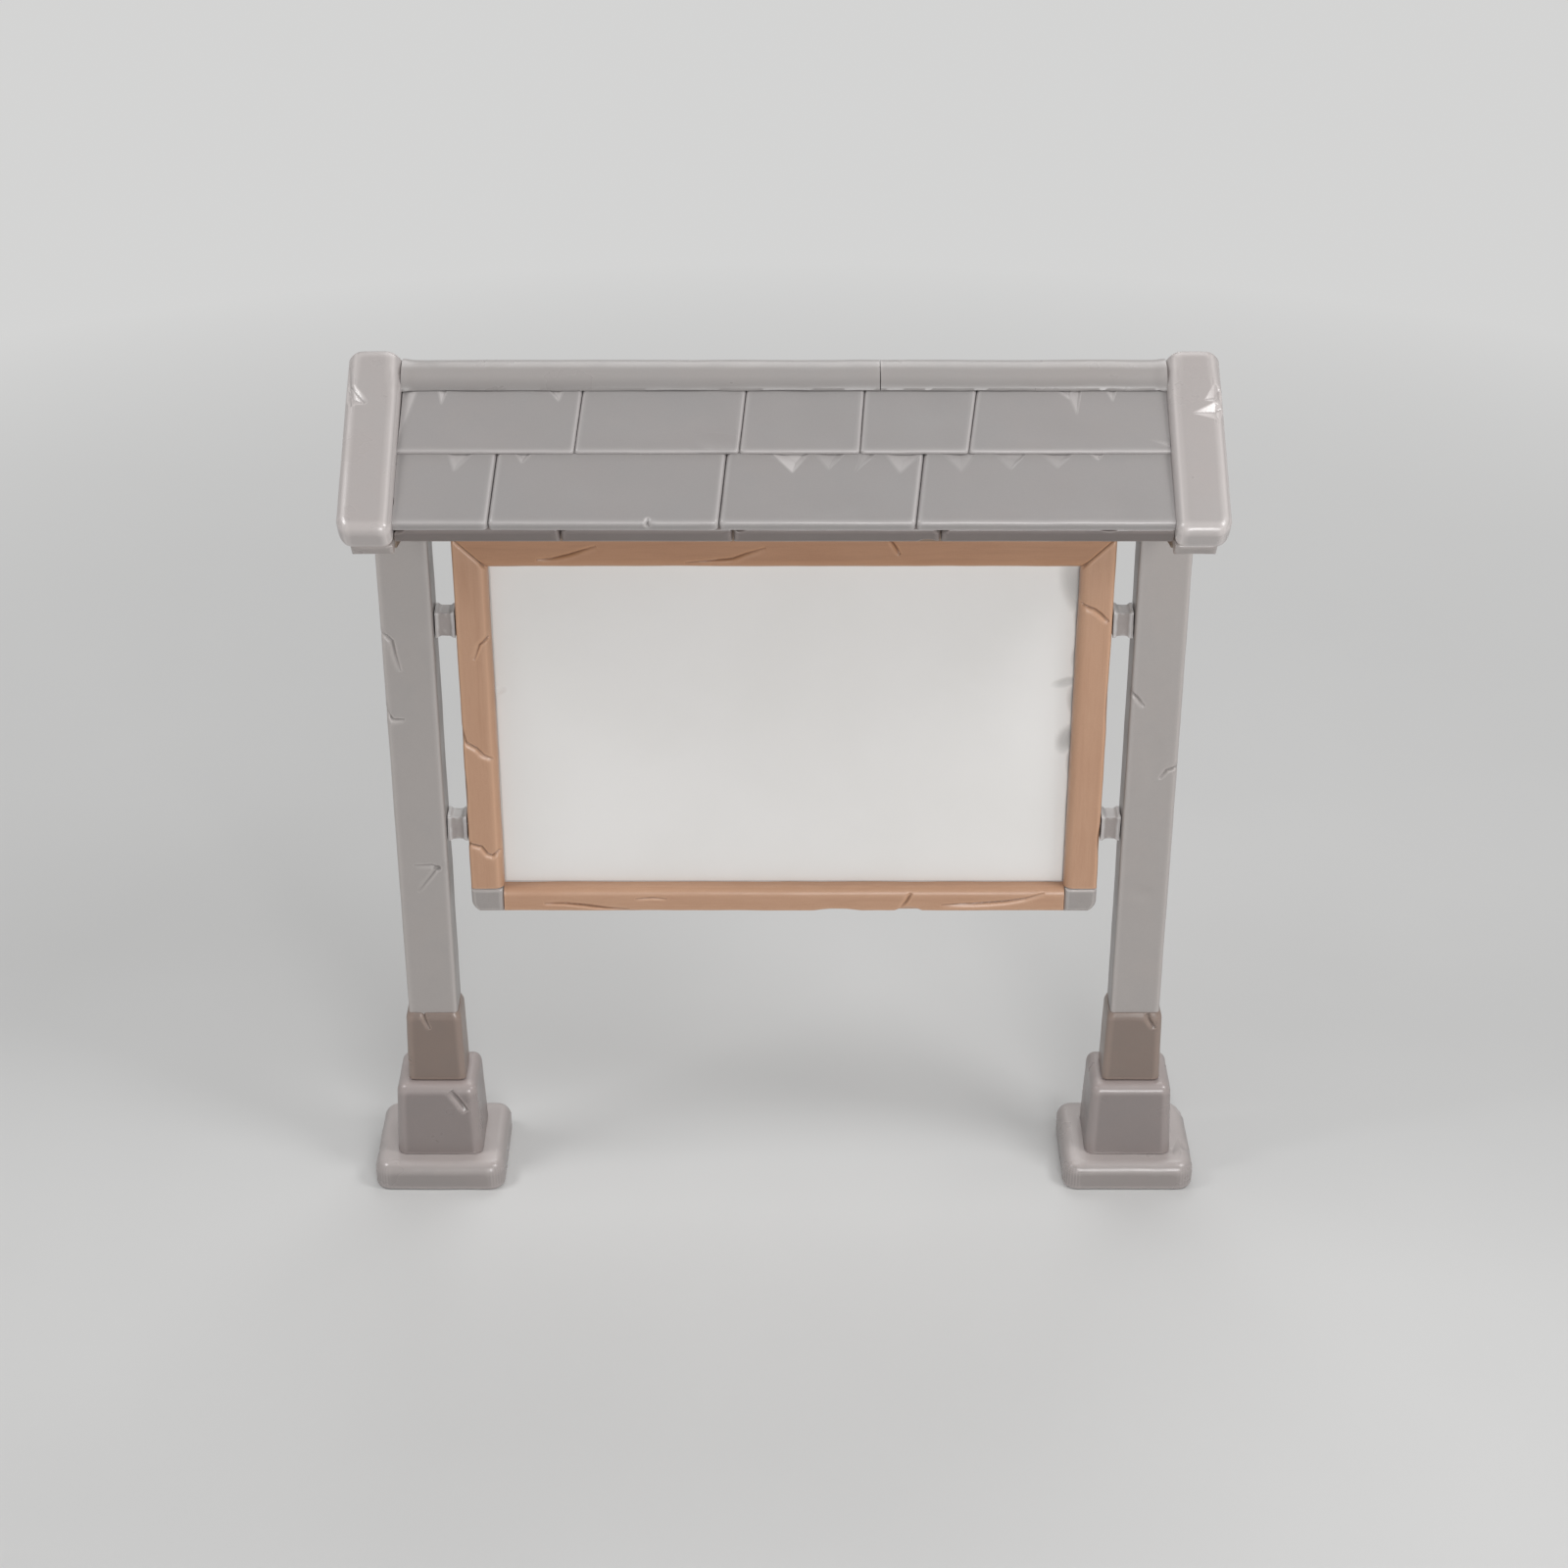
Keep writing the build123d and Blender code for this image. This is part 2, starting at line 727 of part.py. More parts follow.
def bead_right():
    """The bead up the right side, between the two long ones."""
    low_z = opening_bottom_z + joint_gap
    high_z = opening_top_z - joint_gap
    high_x = opening_half_width + bead_width
    bead = block(opening_half_width, high_x, bead_front_y, bead_back_y, low_z, high_z)
    for pin in bead_pins(joint_gap / 2)["right"]:
        bead -= pin
    return bead


# Brackets between the posts and the frame


def bracket(z):
    """A spacer between the right post and the stile, waisted between its two flanges."""
    length = bracket_length - 2 * joint_gap
    half_waist_depth = bracket_depth / 2 - bracket_waist
    half_waist_height = bracket_height / 2 - bracket_waist
    waist = Box(length, 2 * half_waist_depth, 2 * half_waist_height)
    spacer = fillet(waist.edges().filter_by(Axis.X), bracket_round)
    for side in (-1, 1):
        flange = Box(bracket_flange, bracket_depth, bracket_height)
        flange = fillet(flange.edges().filter_by(Axis.X), bracket_round)
        flange = chamfer(flange.faces().sort_by(Axis.X)[(side - 1) // 2].edges(), bracket_waist - joint_gap)
        spacer += Pos(-side * (length - bracket_flange) / 2, 0, 0) * flange
    spacer -= rod_along("X", -length, 0, 0, 2 * length, bolt_diameter / 2 + bolt_gap)
    return Pos((post_inner_x + frame_outer_half_width) / 2, 0, z) * spacer


def bracket_bolt(z):
    """The flanged bolt that runs from the post's outer face through a bracket into the stile."""
    shaft_low = frame_outer_half_width - bolt_reach_in_stile
    flange_x = bolt_recess_floor_x + joint_gap
    bolt = rod_along("X", shaft_low, 0, z, flange_x - shaft_low, bolt_diameter / 2)
    bolt += rod_along("X", flange_x, 0, z, bolt_flange_thickness, bolt_flange_diameter / 2)
    head = Plane(origin=(flange_x + bolt_flange_thickness, 0, z), z_dir=(1, 0, 0))
    return bolt + head * hex_head(bolt_head_across_flats, bolt_head_height)


def barrel_nut_body(z, gap, overrun):
    """The barrel of a cross nut in the stile, or with a gap and an overrun the bore for it."""
    high_y = frame_back_y - bolt_gap + overrun
    low_y = frame_back_y - bolt_gap - barrel_nut_length - gap
    return rod_along("Y", barrel_nut_x, low_y, z, high_y - low_y, barrel_nut_diameter / 2 + gap)


def barrel_nut(z):
    """The cross nut that takes the end of a bracket's bolt."""
    thread_length = barrel_nut_diameter + 2 * cut_overrun
    low_x = barrel_nut_x - thread_length / 2
    thread = rod_along("X", low_x, 0, z, thread_length, bolt_diameter / 2 + thread_gap)
    return barrel_nut_body(z, 0, 0) - thread


# Timbers and arms that carry the roof


def purlin_tenon(side, gap):
    """The tenon at the right end of a purlin, or with a gap the mortise for it."""
    half = purlin_tenon_width / 2 + gap
    top = purlin_tenon_top - gap
    bottom = purlin_tenon_top + purlin_tenon_height + gap
    outline = [
        (purlin_along - half, top),
        (purlin_along + half, top),
        (purlin_along + half, bottom),
        (purlin_along - half, bottom),
    ]
    return slope_prism(outline, rafter_inner_x - joint_gap, rafter_inner_x + purlin_tenon_length + gap, side)


def purlin(side):
    """A beam along the eave, under the deck, with a tenon into each gable plate."""
    half = purlin_width / 2
    end_x = rafter_inner_x - joint_gap
    outline = [
        (purlin_along - half, beam_depth),
        (purlin_along + half, beam_depth),
        (purlin_along + half, beam_depth + purlin_height),
        (purlin_along - half, beam_depth + purlin_height),
    ]
    beam = slope_prism(outline, -end_x, end_x, side)
    tenon = purlin_tenon(side, 0)
    return beam + tenon + mirrored(tenon)


def ridge_beam():
    """The beam under the ridge, its top cut to both slopes, with a tenon into each post."""
    end_x = post_inner_x - joint_gap
    beam = under_roof(beam_depth, ridge_beam_width / 2, ridge_beam_bottom_z, -end_x, end_x)
    tenon = ridge_tenon(0)
    return beam + tenon + mirrored(tenon)


def gable_plate():
    """The arm in the right post's head: it carries the rafters and the ends of the purlins."""
    tip_top = plane_z(plate_reach, head_depth)
    points = [
        (-plate_reach, tip_top),
        (0, plane_z(0, head_depth)),
        (plate_reach, tip_top),
        (plate_reach, tip_top - plate_tip_height),
        (post_depth / 2, plate_root_z),
        (-post_depth / 2, plate_root_z),
        (-plate_reach, tip_top - plate_tip_height),
    ]
    plate = prism_along_x(points, rafter_inner_x, plate_outer_x)
    for side in (-1, 1):
        plate -= purlin_tenon(side, joint_gap)
        plate -= cap_dowel(side, joint_gap)
    return plate


def rafters():
    """The pair of rafters on the right gable plate, butted at the ridge."""
    reach = cap_length - rafter_setback
    pair = chevron(rafter_depth, rafter_bottom_depth, reach, rafter_inner_x, rafter_inner_x + rafter_width)
    half_gap = joint_gap / 2
    width = cap_inner_x + cap_width
    pair -= block(0, width, -half_gap, half_gap, 0, roof_top_z + cap_apex_round)
    for side in (-1, 1):
        pair -= cap_dowel(side, joint_gap)
    return as_group([fillet(far_edges(pair.edges(), reach), rafter_round)])


def far_edges(edges, along):
    """Those edges whose middle lies at the lower end of a slope."""
    found = []
    for edge in edges:
        middle = edge.center()
        measured = abs(middle.Y) * math.cos(pitch) + (apex_z - middle.Z) * math.sin(pitch)
        if abs(measured - along) < joint_gap:
            found.append(edge)
    return found


def cap_dowel(side, gap):
    """The dowel through a rafter into its cap and its gable plate, or with a gap its bore."""
    x = (rafter_inner_x + plate_outer_x) / 2
    along = cap_length * cap_dowel_along_share
    top = cap_thickness - cap_dowel_in_cap - gap
    bottom = head_depth + cap_dowel_in_plate + gap
    return slope_pin(x, along, top, bottom, cap_dowel_diameter / 2 + gap, side)


def barge_cap():
    """The front half of the right-hand gable's cap, mitred at the ridge, every edge rounded."""
    outer_x = cap_inner_x + cap_width
    whole = chevron(0, cap_thickness, cap_length, cap_inner_x, outer_x)
    apex = whole.edges().filter_by(Axis.X).sort_by(Axis.Z)[-1]
    whole = fillet(apex, cap_apex_round)
    behind = block(0, outer_x + cap_width, -joint_gap / 2, cap_length, 0, roof_top_z + cap_width)
    half = whole - behind
    rounded = [edge for edge in half.edges() if abs(edge.center().Y) > cap_round]
    return fillet(rounded, cap_round) - cap_dowel(-1, joint_gap)


# Deck and tiles


def joints_and_ends(shares, gap):
    """The x range of each piece of a row, with a gap at every joint."""
    edges = [-roof_half_length - gap / 2]
    edges += [roof_half_length * share for share in shares]
    edges.append(roof_half_length + gap / 2)
    return [(low + gap / 2, high - gap / 2) for low, high in zip(edges, edges[1:])]


def deck_slab(x_low, x_high, side):
    """A deck slab from the ridge to the eave, with its front edges rounded."""
    reach = cap_length - deck_setback
    half_gap = joint_gap / 2
    outline = [
        (along_at(half_gap, deck_depth), deck_depth),
        (reach, deck_depth),
        (reach, deck_bottom_depth),
        (along_at(half_gap, deck_bottom_depth), deck_bottom_depth),
    ]
    slab = slope_prism(outline, x_low, x_high, side)
    return fillet(far_edges(slab.edges(), reach), deck_round)


def deck_slabs(side):
    """The deck of one slope, with the bores for the tiles' pins."""
    bores = [tile_pin(*place, side, joint_gap) for place in tile_pin_places()]
    slabs = []
    for x_low, x_high in joints_and_ends(deck_joint_shares, deck_joint):
        slab = deck_slab(x_low, x_high, side)
        for bore in bores:
            slab -= bore
        slabs.append(slab)
    return as_group(slabs)


def tile_top_depth(along, nose_along):
    """How deep the top of a course lies at a place, given where its nose is."""
    return tile_nose_depth + (nose_along - along) * tile_tilt


def upper_head_along():
    """How far down the slope the heads of the upper course are."""
    return along_at(tile_head_reach, tile_bottom_depth)


def tile_outline(upper):
    """The section of a tile: the upper ones are rebated to lap over the heads of the lower ones."""
    if not upper:
        head = lower_head_along
        nose = lower_nose_along
        return [
            (head, tile_top_depth(head, nose)),
            (nose, tile_nose_depth),
            (nose, tile_bottom_depth),
            (head, tile_bottom_depth),
        ]
    head = upper_head_along()
    nose = upper_nose_along
    wall = lower_head_along - joint_gap
    return [
        (head, tile_top_depth(head, nose)),
        (nose, tile_nose_depth),
        (nose, tile_top_depth(nose, lower_nose_along) - joint_gap),
        (wall, tile_top_depth(wall, lower_nose_along) - joint_gap),
        (wall, tile_bottom_depth),
        (head, tile_bottom_depth),
    ]


def tile_plan(upper):
    """The plan of each tile of a front course: its four corners, since the joints lean a little."""
    if upper:
        head_along, nose_along = upper_head_along(), upper_nose_along
        head_shares, nose_shares = upper_joint_head_shares, upper_joint_nose_shares
    else:
        head_along, nose_along = lower_head_along, lower_nose_along
        head_shares, nose_shares = lower_joint_head_shares, lower_joint_nose_shares
    head_reach = slope_point(head_along, tile_nose_depth, 1)[0]
    nose_reach = slope_point(nose_along, tile_nose_depth, 1)[0]
    heads = joints_and_ends(head_shares, tile_joint)
    noses = joints_and_ends(nose_shares, tile_joint)
    return [
        [(head[0], head_reach), (head[1], head_reach), (nose[1], nose_reach), (nose[0], nose_reach)]
        for head, nose in zip(heads, noses)
    ]


def tile(plan, side, upper):
    """A tile with rounded corners and edges at its nose, and the bores for its pins."""
    nose = upper_nose_along if upper else lower_nose_along
    x_low = min(x for x, reach in plan)
    x_high = max(x for x, reach in plan)
    piece = slope_prism(tile_outline(upper), x_low, x_high, side)
    sides = make_face(Polyline(*plan_corners(plan, side), close=True))
    piece &= extrude(sides, roof_top_z, dir=(0, 0, 1))
    corners = [
        edge for edge in far_edges(piece.edges(), nose) if abs(edge.tangent_at(0).X) < math.cos(pitch)
    ]
    piece = fillet(corners, tile_corner_round)
    outward = slope_direction(side) * -1
    upward = [face for face in piece.faces() if face.normal_at().dot(outward) > math.cos(pitch)]
    top = ShapeList(upward).sort_by(SortBy.AREA)[-1]
    head_y = min(abs(edge.center().Y) for edge in top.edges())
    round_edges = [edge for edge in top.edges() if abs(edge.center().Y) > head_y + tile_edge_round]
    piece = fillet(round_edges, tile_edge_round)
    for x, along, deep in tile_pin_places():
        if x_low < x < x_high and (along < lower_head_along) == upper:
            piece -= tile_pin(x, along, deep, side, joint_gap)
    return piece


def plan_corners(plan, side):
    """The plan's corners as (x, y), with its sides drawn on past the head and the nose."""
    low_head, high_head, high_nose, low_nose = plan
    corners = []
    for head, nose in ((low_head, low_nose), (high_head, high_nose)):
        lean = (nose[0] - head[0]) / (nose[1] - head[1])
        for reach in (head[1] - tile_head_reach, nose[1] + tile_lap):
            corners.append((head[0] + lean * (reach - head[1]), side * reach))
    return [corners[0], corners[2], corners[3], corners[1]]


def tile_pin_places():
    """For each pin of a slope: x, how far down the slope, and how deep its top is."""
    places = []
    upper_along = (upper_head_along() + along_at(ridge_roll_radius, tile_nose_depth)) / 2
    lower_along = (lower_head_along + upper_nose_along) / 2
    rows = ((True, upper_along, upper_nose_along), (False, lower_along, lower_nose_along))
    for upper, along, nose in rows:
        deep = tile_top_depth(along, nose) + tile_pin_sink
        for plan in tile_plan(upper):
            x_low, x_high = plan[0][0], plan[1][0]
            for share in tile_pin_place_shares:
                places.append((x_low + (x_high - x_low) * share, along, deep))
    return places


def tile_pin(x, along, deep, side, gap):
    """A pin through a tile's head into the deck, or with a gap the bore for it."""
    bottom = deck_depth + tile_pin_grip + gap
    top = deep - (cut_overrun if gap else 0)
    return slope_pin(x, along, top, bottom, tile_pin_diameter / 2 + gap, side)


def tile_pins():
    """All the pins of both slopes."""
    return as_group([tile_pin(*place, side, 0) for side in (-1, 1) for place in tile_pin_places()])


def ridge_roll(x_low, x_high):
    """A length of the ridge roll: round above, cut to the tiles below, with a keel between them."""
    head = upper_head_along() - joint_gap
    wing = along_at(ridge_roll_radius, tile_nose_depth) + ridge_roll_wing
    over = roof_top_z + ridge_roll_radius
    bottom = []
    for along, deep in (
        (wing, tile_top_depth(wing, upper_nose_along) - joint_gap),
        (head, tile_top_depth(head, upper_nose_along) - joint_gap),
        (head, tile_bottom_depth),
    ):
        bottom.append(slope_point(along, deep, -1))
    right = [(-y, z) for y, z in reversed(bottom)]
    points = [(bottom[0][0], over)] + bottom + [(0, plane_z(0, tile_bottom_depth))] + right
    points.append((right[-1][0], over))
    upper_space = make_face(Plane.YZ * Polyline(*points, close=True))
    circle = Plane.YZ * Pos(0, ridge_roll_centre_z) * Circle(ridge_roll_radius)
    return Pos(x_low, 0, 0) * extrude(circle & upper_space, x_high - x_low, dir=(1, 0, 0))


def tile_nodes():
    """The tiles by name: those of the front one by one, those of the back by course."""
    nodes = {}
    for name, upper in (("upper", True), ("lower", False)):
        plans = tile_plan(upper)
        for number, plan in enumerate(plans, start=1):
            nodes[f"tile_front_{name}_{number}"] = tile(plan, -1, upper)
        nodes[f"tiles_back_{name}"] = as_group([tile(plan, 1, upper) for plan in plans])
    return nodes


def pair_nodes(name, solid):
    """A right-hand piece and its mirror image, each under its own name."""
    return {f"{name}_right": solid, f"{name}_left": mirrored(solid)}


def foot_nodes():
    """The feet, the posts and the rods in them."""
    nodes = {}
    nodes.update(pair_nodes("foot_slab", foot_slab()))
    nodes.update(pair_nodes("plinth_block", plinth_block()))
    nodes.update(pair_nodes("post_boot", post_boot()))
    nodes.update(pair_nodes("post", post()))
    nodes["tie_rods"] = both_sides(tie_rod())
    nodes["tie_rod_nuts"] = both_sides(tie_rod_nut())
    return nodes


def board_nodes():
    """The frame, what it holds, and the brackets that carry it."""
    nodes = {"frame_top_rail": top_rail(), "frame_bottom_rail": bottom_rail()}
    nodes.update(pair_nodes("frame_stile", stile()))
    nodes.update(pair_nodes("corner_block", corner_block()))
    nodes["mitre_dowels"] = mitre_dowels()
    nodes["corner_screws"] = corner_screws()
    nodes["display_panel"] = rebate_sheet(panel_front_y, panel_thickness)
    nodes["backing_board"] = rebate_sheet(backing_front_y, backing_thickness)
    nodes["bead_top"] = bead_top()
    nodes["bead_bottom"] = bead_bottom()
    nodes.update(pair_nodes("bead", bead_right()))
    nodes["bead_pins"] = as_group([pin for pins in bead_pins(0).values() for pin in pins])
    nodes.update(pair_nodes("bracket_lower", bracket(bracket_z[0])))
    nodes.update(pair_nodes("bracket_upper", bracket(bracket_z[1])))
    nodes["bracket_bolts"] = as_group([both_sides(bracket_bolt(z)) for z in bracket_z])
    nodes["barrel_nuts"] = as_group([both_sides(barrel_nut(z)) for z in bracket_z])
    return nodes


def roof_nodes():
    """The roof and what carries it."""
    joint_x = roof_half_length * ridge_roll_joint_share
    nodes = {"ridge_beam": ridge_beam()}
    nodes.update(pair_nodes("gable_plate", gable_plate()))
    nodes.update(pair_nodes("rafters", rafters()))
    for place, side in (("front", -1), ("back", 1)):
        nodes[f"eave_purlin_{place}"] = purlin(side)
        nodes[f"deck_slabs_{place}"] = deck_slabs(side)
        cap = barge_cap() if side < 0 else mirror(barge_cap(), about=Plane.XZ)
        nodes.update(pair_nodes(f"barge_cap_{place}", cap))
    nodes["cap_dowels"] = as_group([both_sides(cap_dowel(side, 0)) for side in (-1, 1)])
    nodes.update(tile_nodes())
    nodes["tile_pins"] = tile_pins()
    nodes["ridge_roll_left"] = ridge_roll(-roof_half_length, joint_x - joint_gap)
    nodes["ridge_roll_right"] = ridge_roll(joint_x + joint_gap, roof_half_length)
    return nodes


def main():
    """Build every piece and write each one under its own name."""
    os.makedirs("parts", exist_ok=True)
    nodes = {}
    nodes.update(foot_nodes())
    nodes.update(board_nodes())
    nodes.update(roof_nodes())
    for name, shape in nodes.items():
        export_step(shape, f"parts/{name}.step")
    print(f"{len(nodes)} pieces written")


main()
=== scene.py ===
import json
import logging
import math
from dataclasses import dataclass
from enum import Enum
from typing import Callable, Sequence

import bpy
import numpy as np
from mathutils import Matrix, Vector


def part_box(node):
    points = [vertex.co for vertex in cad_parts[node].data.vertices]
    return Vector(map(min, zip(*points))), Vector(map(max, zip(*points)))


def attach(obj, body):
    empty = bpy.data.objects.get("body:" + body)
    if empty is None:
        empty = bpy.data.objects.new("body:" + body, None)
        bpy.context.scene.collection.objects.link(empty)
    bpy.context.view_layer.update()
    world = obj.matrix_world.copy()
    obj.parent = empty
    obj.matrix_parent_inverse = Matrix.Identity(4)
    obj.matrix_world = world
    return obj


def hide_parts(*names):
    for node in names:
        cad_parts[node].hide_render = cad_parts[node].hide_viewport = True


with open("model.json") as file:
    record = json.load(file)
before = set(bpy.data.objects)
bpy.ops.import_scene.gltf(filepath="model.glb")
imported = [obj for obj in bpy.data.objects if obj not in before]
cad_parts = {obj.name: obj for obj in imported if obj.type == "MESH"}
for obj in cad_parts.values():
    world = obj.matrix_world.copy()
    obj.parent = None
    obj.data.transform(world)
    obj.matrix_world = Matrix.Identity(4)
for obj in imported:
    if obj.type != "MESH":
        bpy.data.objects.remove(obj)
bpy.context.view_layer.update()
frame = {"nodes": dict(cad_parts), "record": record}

# Notice board with a small gabled roof, dressed as worked stone and timber.
# Metres, in the part's own frame: +Z is up and the front looks along -Y. Marks such as cracks
# and chips are laid out in millimetres on the face that they are cut in.

log = logging.getLogger("notice_board")

MM = 0.001
ROOT_BODY = "root"
WEIGHT_STEPS = 400
RIPPLE_CONTRAST = 0.6
SIDES = {"left": -1, "right": 1}
LEFT, RIGHT, DOWN_SLOPE = (-1.0, 0.0, 0.0), (1.0, 0.0, 0.0), (0.0, -1.0, 0.0)

Place = tuple[float, float]
Point = tuple[float, float, float]
Colour = tuple[float, float, float]


class Slot(Enum):
    """The material slots that the record names."""

    CAP_STONE = "cap_stone"
    TILE_STONE = "tile_stone"
    DECK_STONE = "deck_stone"
    POST_STONE = "post_stone"
    PLINTH_STONE = "plinth_stone"
    BOOT_IRON = "boot_iron"
    BRACKET_METAL = "bracket_metal"
    FRAME_WOOD = "frame_wood"
    INNER_WOOD = "inner_wood"
    PANEL_WHITE = "panel_white"
    FIXING_STEEL = "fixing_steel"


class Grain(Enum):
    """The way that timber's grain runs, as the stretch of its pattern along X, Y and Z."""

    UPRIGHT = (1.0, 1.0, 0.06)
    LEVEL = (0.06, 1.0, 1.0)


class Kind(Enum):
    """What a selection is made of."""

    POINTS = (True, False, False)
    EDGES = (False, True, False)
    FACES = (False, False, True)


def srgb(red: float, green: float, blue: float) -> Colour:
    """Turn a colour given as screen values from 0 to 255 into a linear one.

    Args:
        red: Screen value of red.
        green: Screen value of green.
        blue: Screen value of blue.

    Returns:
        The linear colour that Blender's sockets take.
    """
    shares = [value / 255.0 for value in (red, green, blue)]
    linear = [s / 12.92 if s <= 0.04045 else ((s + 0.055) / 1.055) ** 2.4 for s in shares]
    return (linear[0], linear[1], linear[2])


class NodeSheet:
    """A material's node tree, with short calls for the nodes that the finishes share."""

    def __init__(self, name: str) -> None:
        """Start an empty material with its shader.

        Args:
            name: The material's name.
        """
        self.material = bpy.data.materials.new(name)
        self.material.use_nodes = True
        self.tree = self.material.node_tree
        self.tree.nodes.clear()
        self.output = self.tree.nodes.new("ShaderNodeOutputMaterial")
        self.shader = self.tree.nodes.new("ShaderNodeBsdfPrincipled")
        self.join(self.shader.outputs["BSDF"], self.output.inputs["Surface"])
        coordinates = self.tree.nodes.new("ShaderNodeTexCoord")
        self.place = coordinates.outputs["Object"]

    def join(self, source: bpy.types.NodeSocket, target: bpy.types.NodeSocket) -> None:
        """Link two sockets."""
        self.tree.links.new(source, target)

    def stretched(self, stretch: Point) -> bpy.types.NodeSocket:
        """Return the object's coordinates, stretched along each axis."""
        mapping = self.tree.nodes.new("ShaderNodeMapping")
        mapping.inputs["Scale"].default_value = stretch
        self.join(self.place, mapping.inputs["Vector"])
        return mapping.outputs["Vector"]

    def noise(
        self,
        scale: float,
        detail: float = 3.0,
        roughness: float = 0.5,
        distortion: float = 0.0,
        place: bpy.types.NodeSocket | None = None,
    ) -> bpy.types.NodeSocket:
        """Add a noise pattern.

        Args:
            scale: Lumps per metre.
            detail: How many finer layers it has.
            roughness: How strong the finer layers are.
            distortion: How much the pattern is drawn about.
            place: The coordinates that it reads.

        Returns:
            The pattern's value.
        """
        node = self.tree.nodes.new("ShaderNodeTexNoise")
        node.inputs["Scale"].default_value = scale
        node.inputs["Detail"].default_value = detail
        node.inputs["Roughness"].default_value = roughness
        node.inputs["Distortion"].default_value = distortion
        self.join(place or self.place, node.inputs["Vector"])
        return node.outputs["Fac"]

    def attribute(self, name: str) -> bpy.types.NodeSocket:
        """Read a value that the mesh carries under a name."""
        node = self.tree.nodes.new("ShaderNodeAttribute")
        node.attribute_name = name
        return node.outputs["Fac"]

    def spread(
        self, value: bpy.types.NodeSocket, low: float, high: float, to_low: float, to_high: float
    ) -> bpy.types.NodeSocket:
        """Map a value from one range to another, clamped.

        Args:
            value: The value to map.
            low: Start of its range.
            high: End of its range.
            to_low: What the start becomes.
            to_high: What the end becomes.

        Returns:
            The mapped value.
        """
        node = self.tree.nodes.new("ShaderNodeMapRange")
        limits = {"From Min": low, "From Max": high, "To Min": to_low, "To Max": to_high}
        for socket, limit in limits.items():
            node.inputs[socket].default_value = limit
        self.join(value, node.inputs["Value"])
        return node.outputs["Result"]

    def blend(
        self,
        factor: bpy.types.NodeSocket,
        first: "bpy.types.NodeSocket | Colour",
        second: "bpy.types.NodeSocket | Colour",
        mode: str = "MIX",
    ) -> bpy.types.NodeSocket:
        """Blend two colours by a factor.

        Args:
            factor: How much of the second colour shows.
            first: A colour, or a socket that gives one.
            second: A colour, or a socket that gives one.
            mode: How they are put together.

        Returns:
            The blended colour.
        """
        node = self.tree.nodes.new("ShaderNodeMix")
        node.data_type = "RGBA"
        node.blend_type = mode
        self.join(factor, node.inputs["Factor"])
        for socket, colour in ((node.inputs[6], first), (node.inputs[7], second)):
            if isinstance(colour, tuple):
                socket.default_value = (*colour, 1.0)
            else:
                self.join(colour, socket)
        return node.outputs[2]

    def relief(
        self,
        height: bpy.types.NodeSocket,
        distance: float,
        under: bpy.types.NodeSocket | None = None,
    ) -> bpy.types.NodeSocket:
        """Add fine relief to the surface.

        Args:
            height: The pattern that gives the relief.
            distance: Its depth in metres.
            under: A relief that this one lies on.

        Returns:
            The shaded normal.
        """
        node = self.tree.nodes.new("ShaderNodeBump")
        node.inputs["Strength"].default_value = 1.0
        node.inputs["Distance"].default_value = distance
        self.join(height, node.inputs["Height"])
        if under is not None:
            self.join(under, node.inputs["Normal"])
        return node.outputs["Normal"]

    def finish(
        self,
        colour: bpy.types.NodeSocket,
        roughness: bpy.types.NodeSocket,
        normal: bpy.types.NodeSocket,
    ) -> bpy.types.Material:
        """Give the shader its colour, roughness and relief, and return the material."""
        self.join(colour, self.shader.inputs["Base Color"])
        self.join(roughness, self.shader.inputs["Roughness"])
        self.join(normal, self.shader.inputs["Normal"])
        return self.material


@dataclass(frozen=True)
class StoneFinish:
    """Smooth worked stone, cloudy and speckled; paler with wear and painted highlight, darker with painted shade in
    cracks.
    """

    name: str
    tone: Colour
    warm: Colour
    cool: Colour
    cloud: float = 0.35
    roughness: float = 0.30
    gloss: float = 0.85
    grit: float = 0.00008
    # How pale the painted edges and tops get: edge wear, painted highlight and painted light from above
    pale: float = 1.5

    def material(self) -> bpy.types.Material:
        """Return the stone's material."""
        sheet = NodeSheet(self.name)
        sheet.shader.inputs["Specular IOR Level"].default_value = self.gloss
        clouds = sheet.noise(3.2, 4.0, 0.55, 0.4)
        drift = sheet.noise(11.0, 3.0, 0.5, 0.2)
        speckle = sheet.noise(420.0, 2.0, 0.6)
        warm_share = sheet.spread(clouds, 0.42, 0.72, 0.0, self.cloud)
        cool_share = sheet.spread(drift, 0.48, 0.78, 0.0, self.cloud)
        colour = sheet.blend(warm_share, self.tone, self.warm)
        colour = sheet.blend(cool_share, colour, self.cool)
        dust = sheet.spread(speckle, 0.3, 0.7, 0.0, 0.10)
        colour = sheet.blend(dust, colour, tuple(value * 0.55 for value in self.tone))
        # Painted highlight: the edge value turns edges, tops and one side paler, partly as edge wear
        edge = sheet.attribute("edge")
        lit = tuple(min(1.0, value * self.pale) for value in self.tone)
        colour = sheet.blend(sheet.spread(edge, 0.05, 1.0, 0.0, 0.8), colour, lit)
        # Painted shade: the cut value darkens cracks, creases and hollows
        cut = sheet.attribute("cut")
        colour = sheet.blend(
            sheet.spread(cut, 0.0, 1.0, 0.0, 0.6), colour, tuple(value * 0.38 for value in self.tone)
        )
        roughness = sheet.spread(drift, 0.3, 0.7, self.roughness - 0.05, self.roughness + 0.06)
        pores = sheet.noise(260.0, 3.0, 0.6)
        normal = sheet.relief(pores, self.grit)
        normal = sheet.relief(sheet.noise(38.0, 2.0, 0.5), self.grit * 3.0, normal)
        return sheet.finish(colour, roughness, normal)


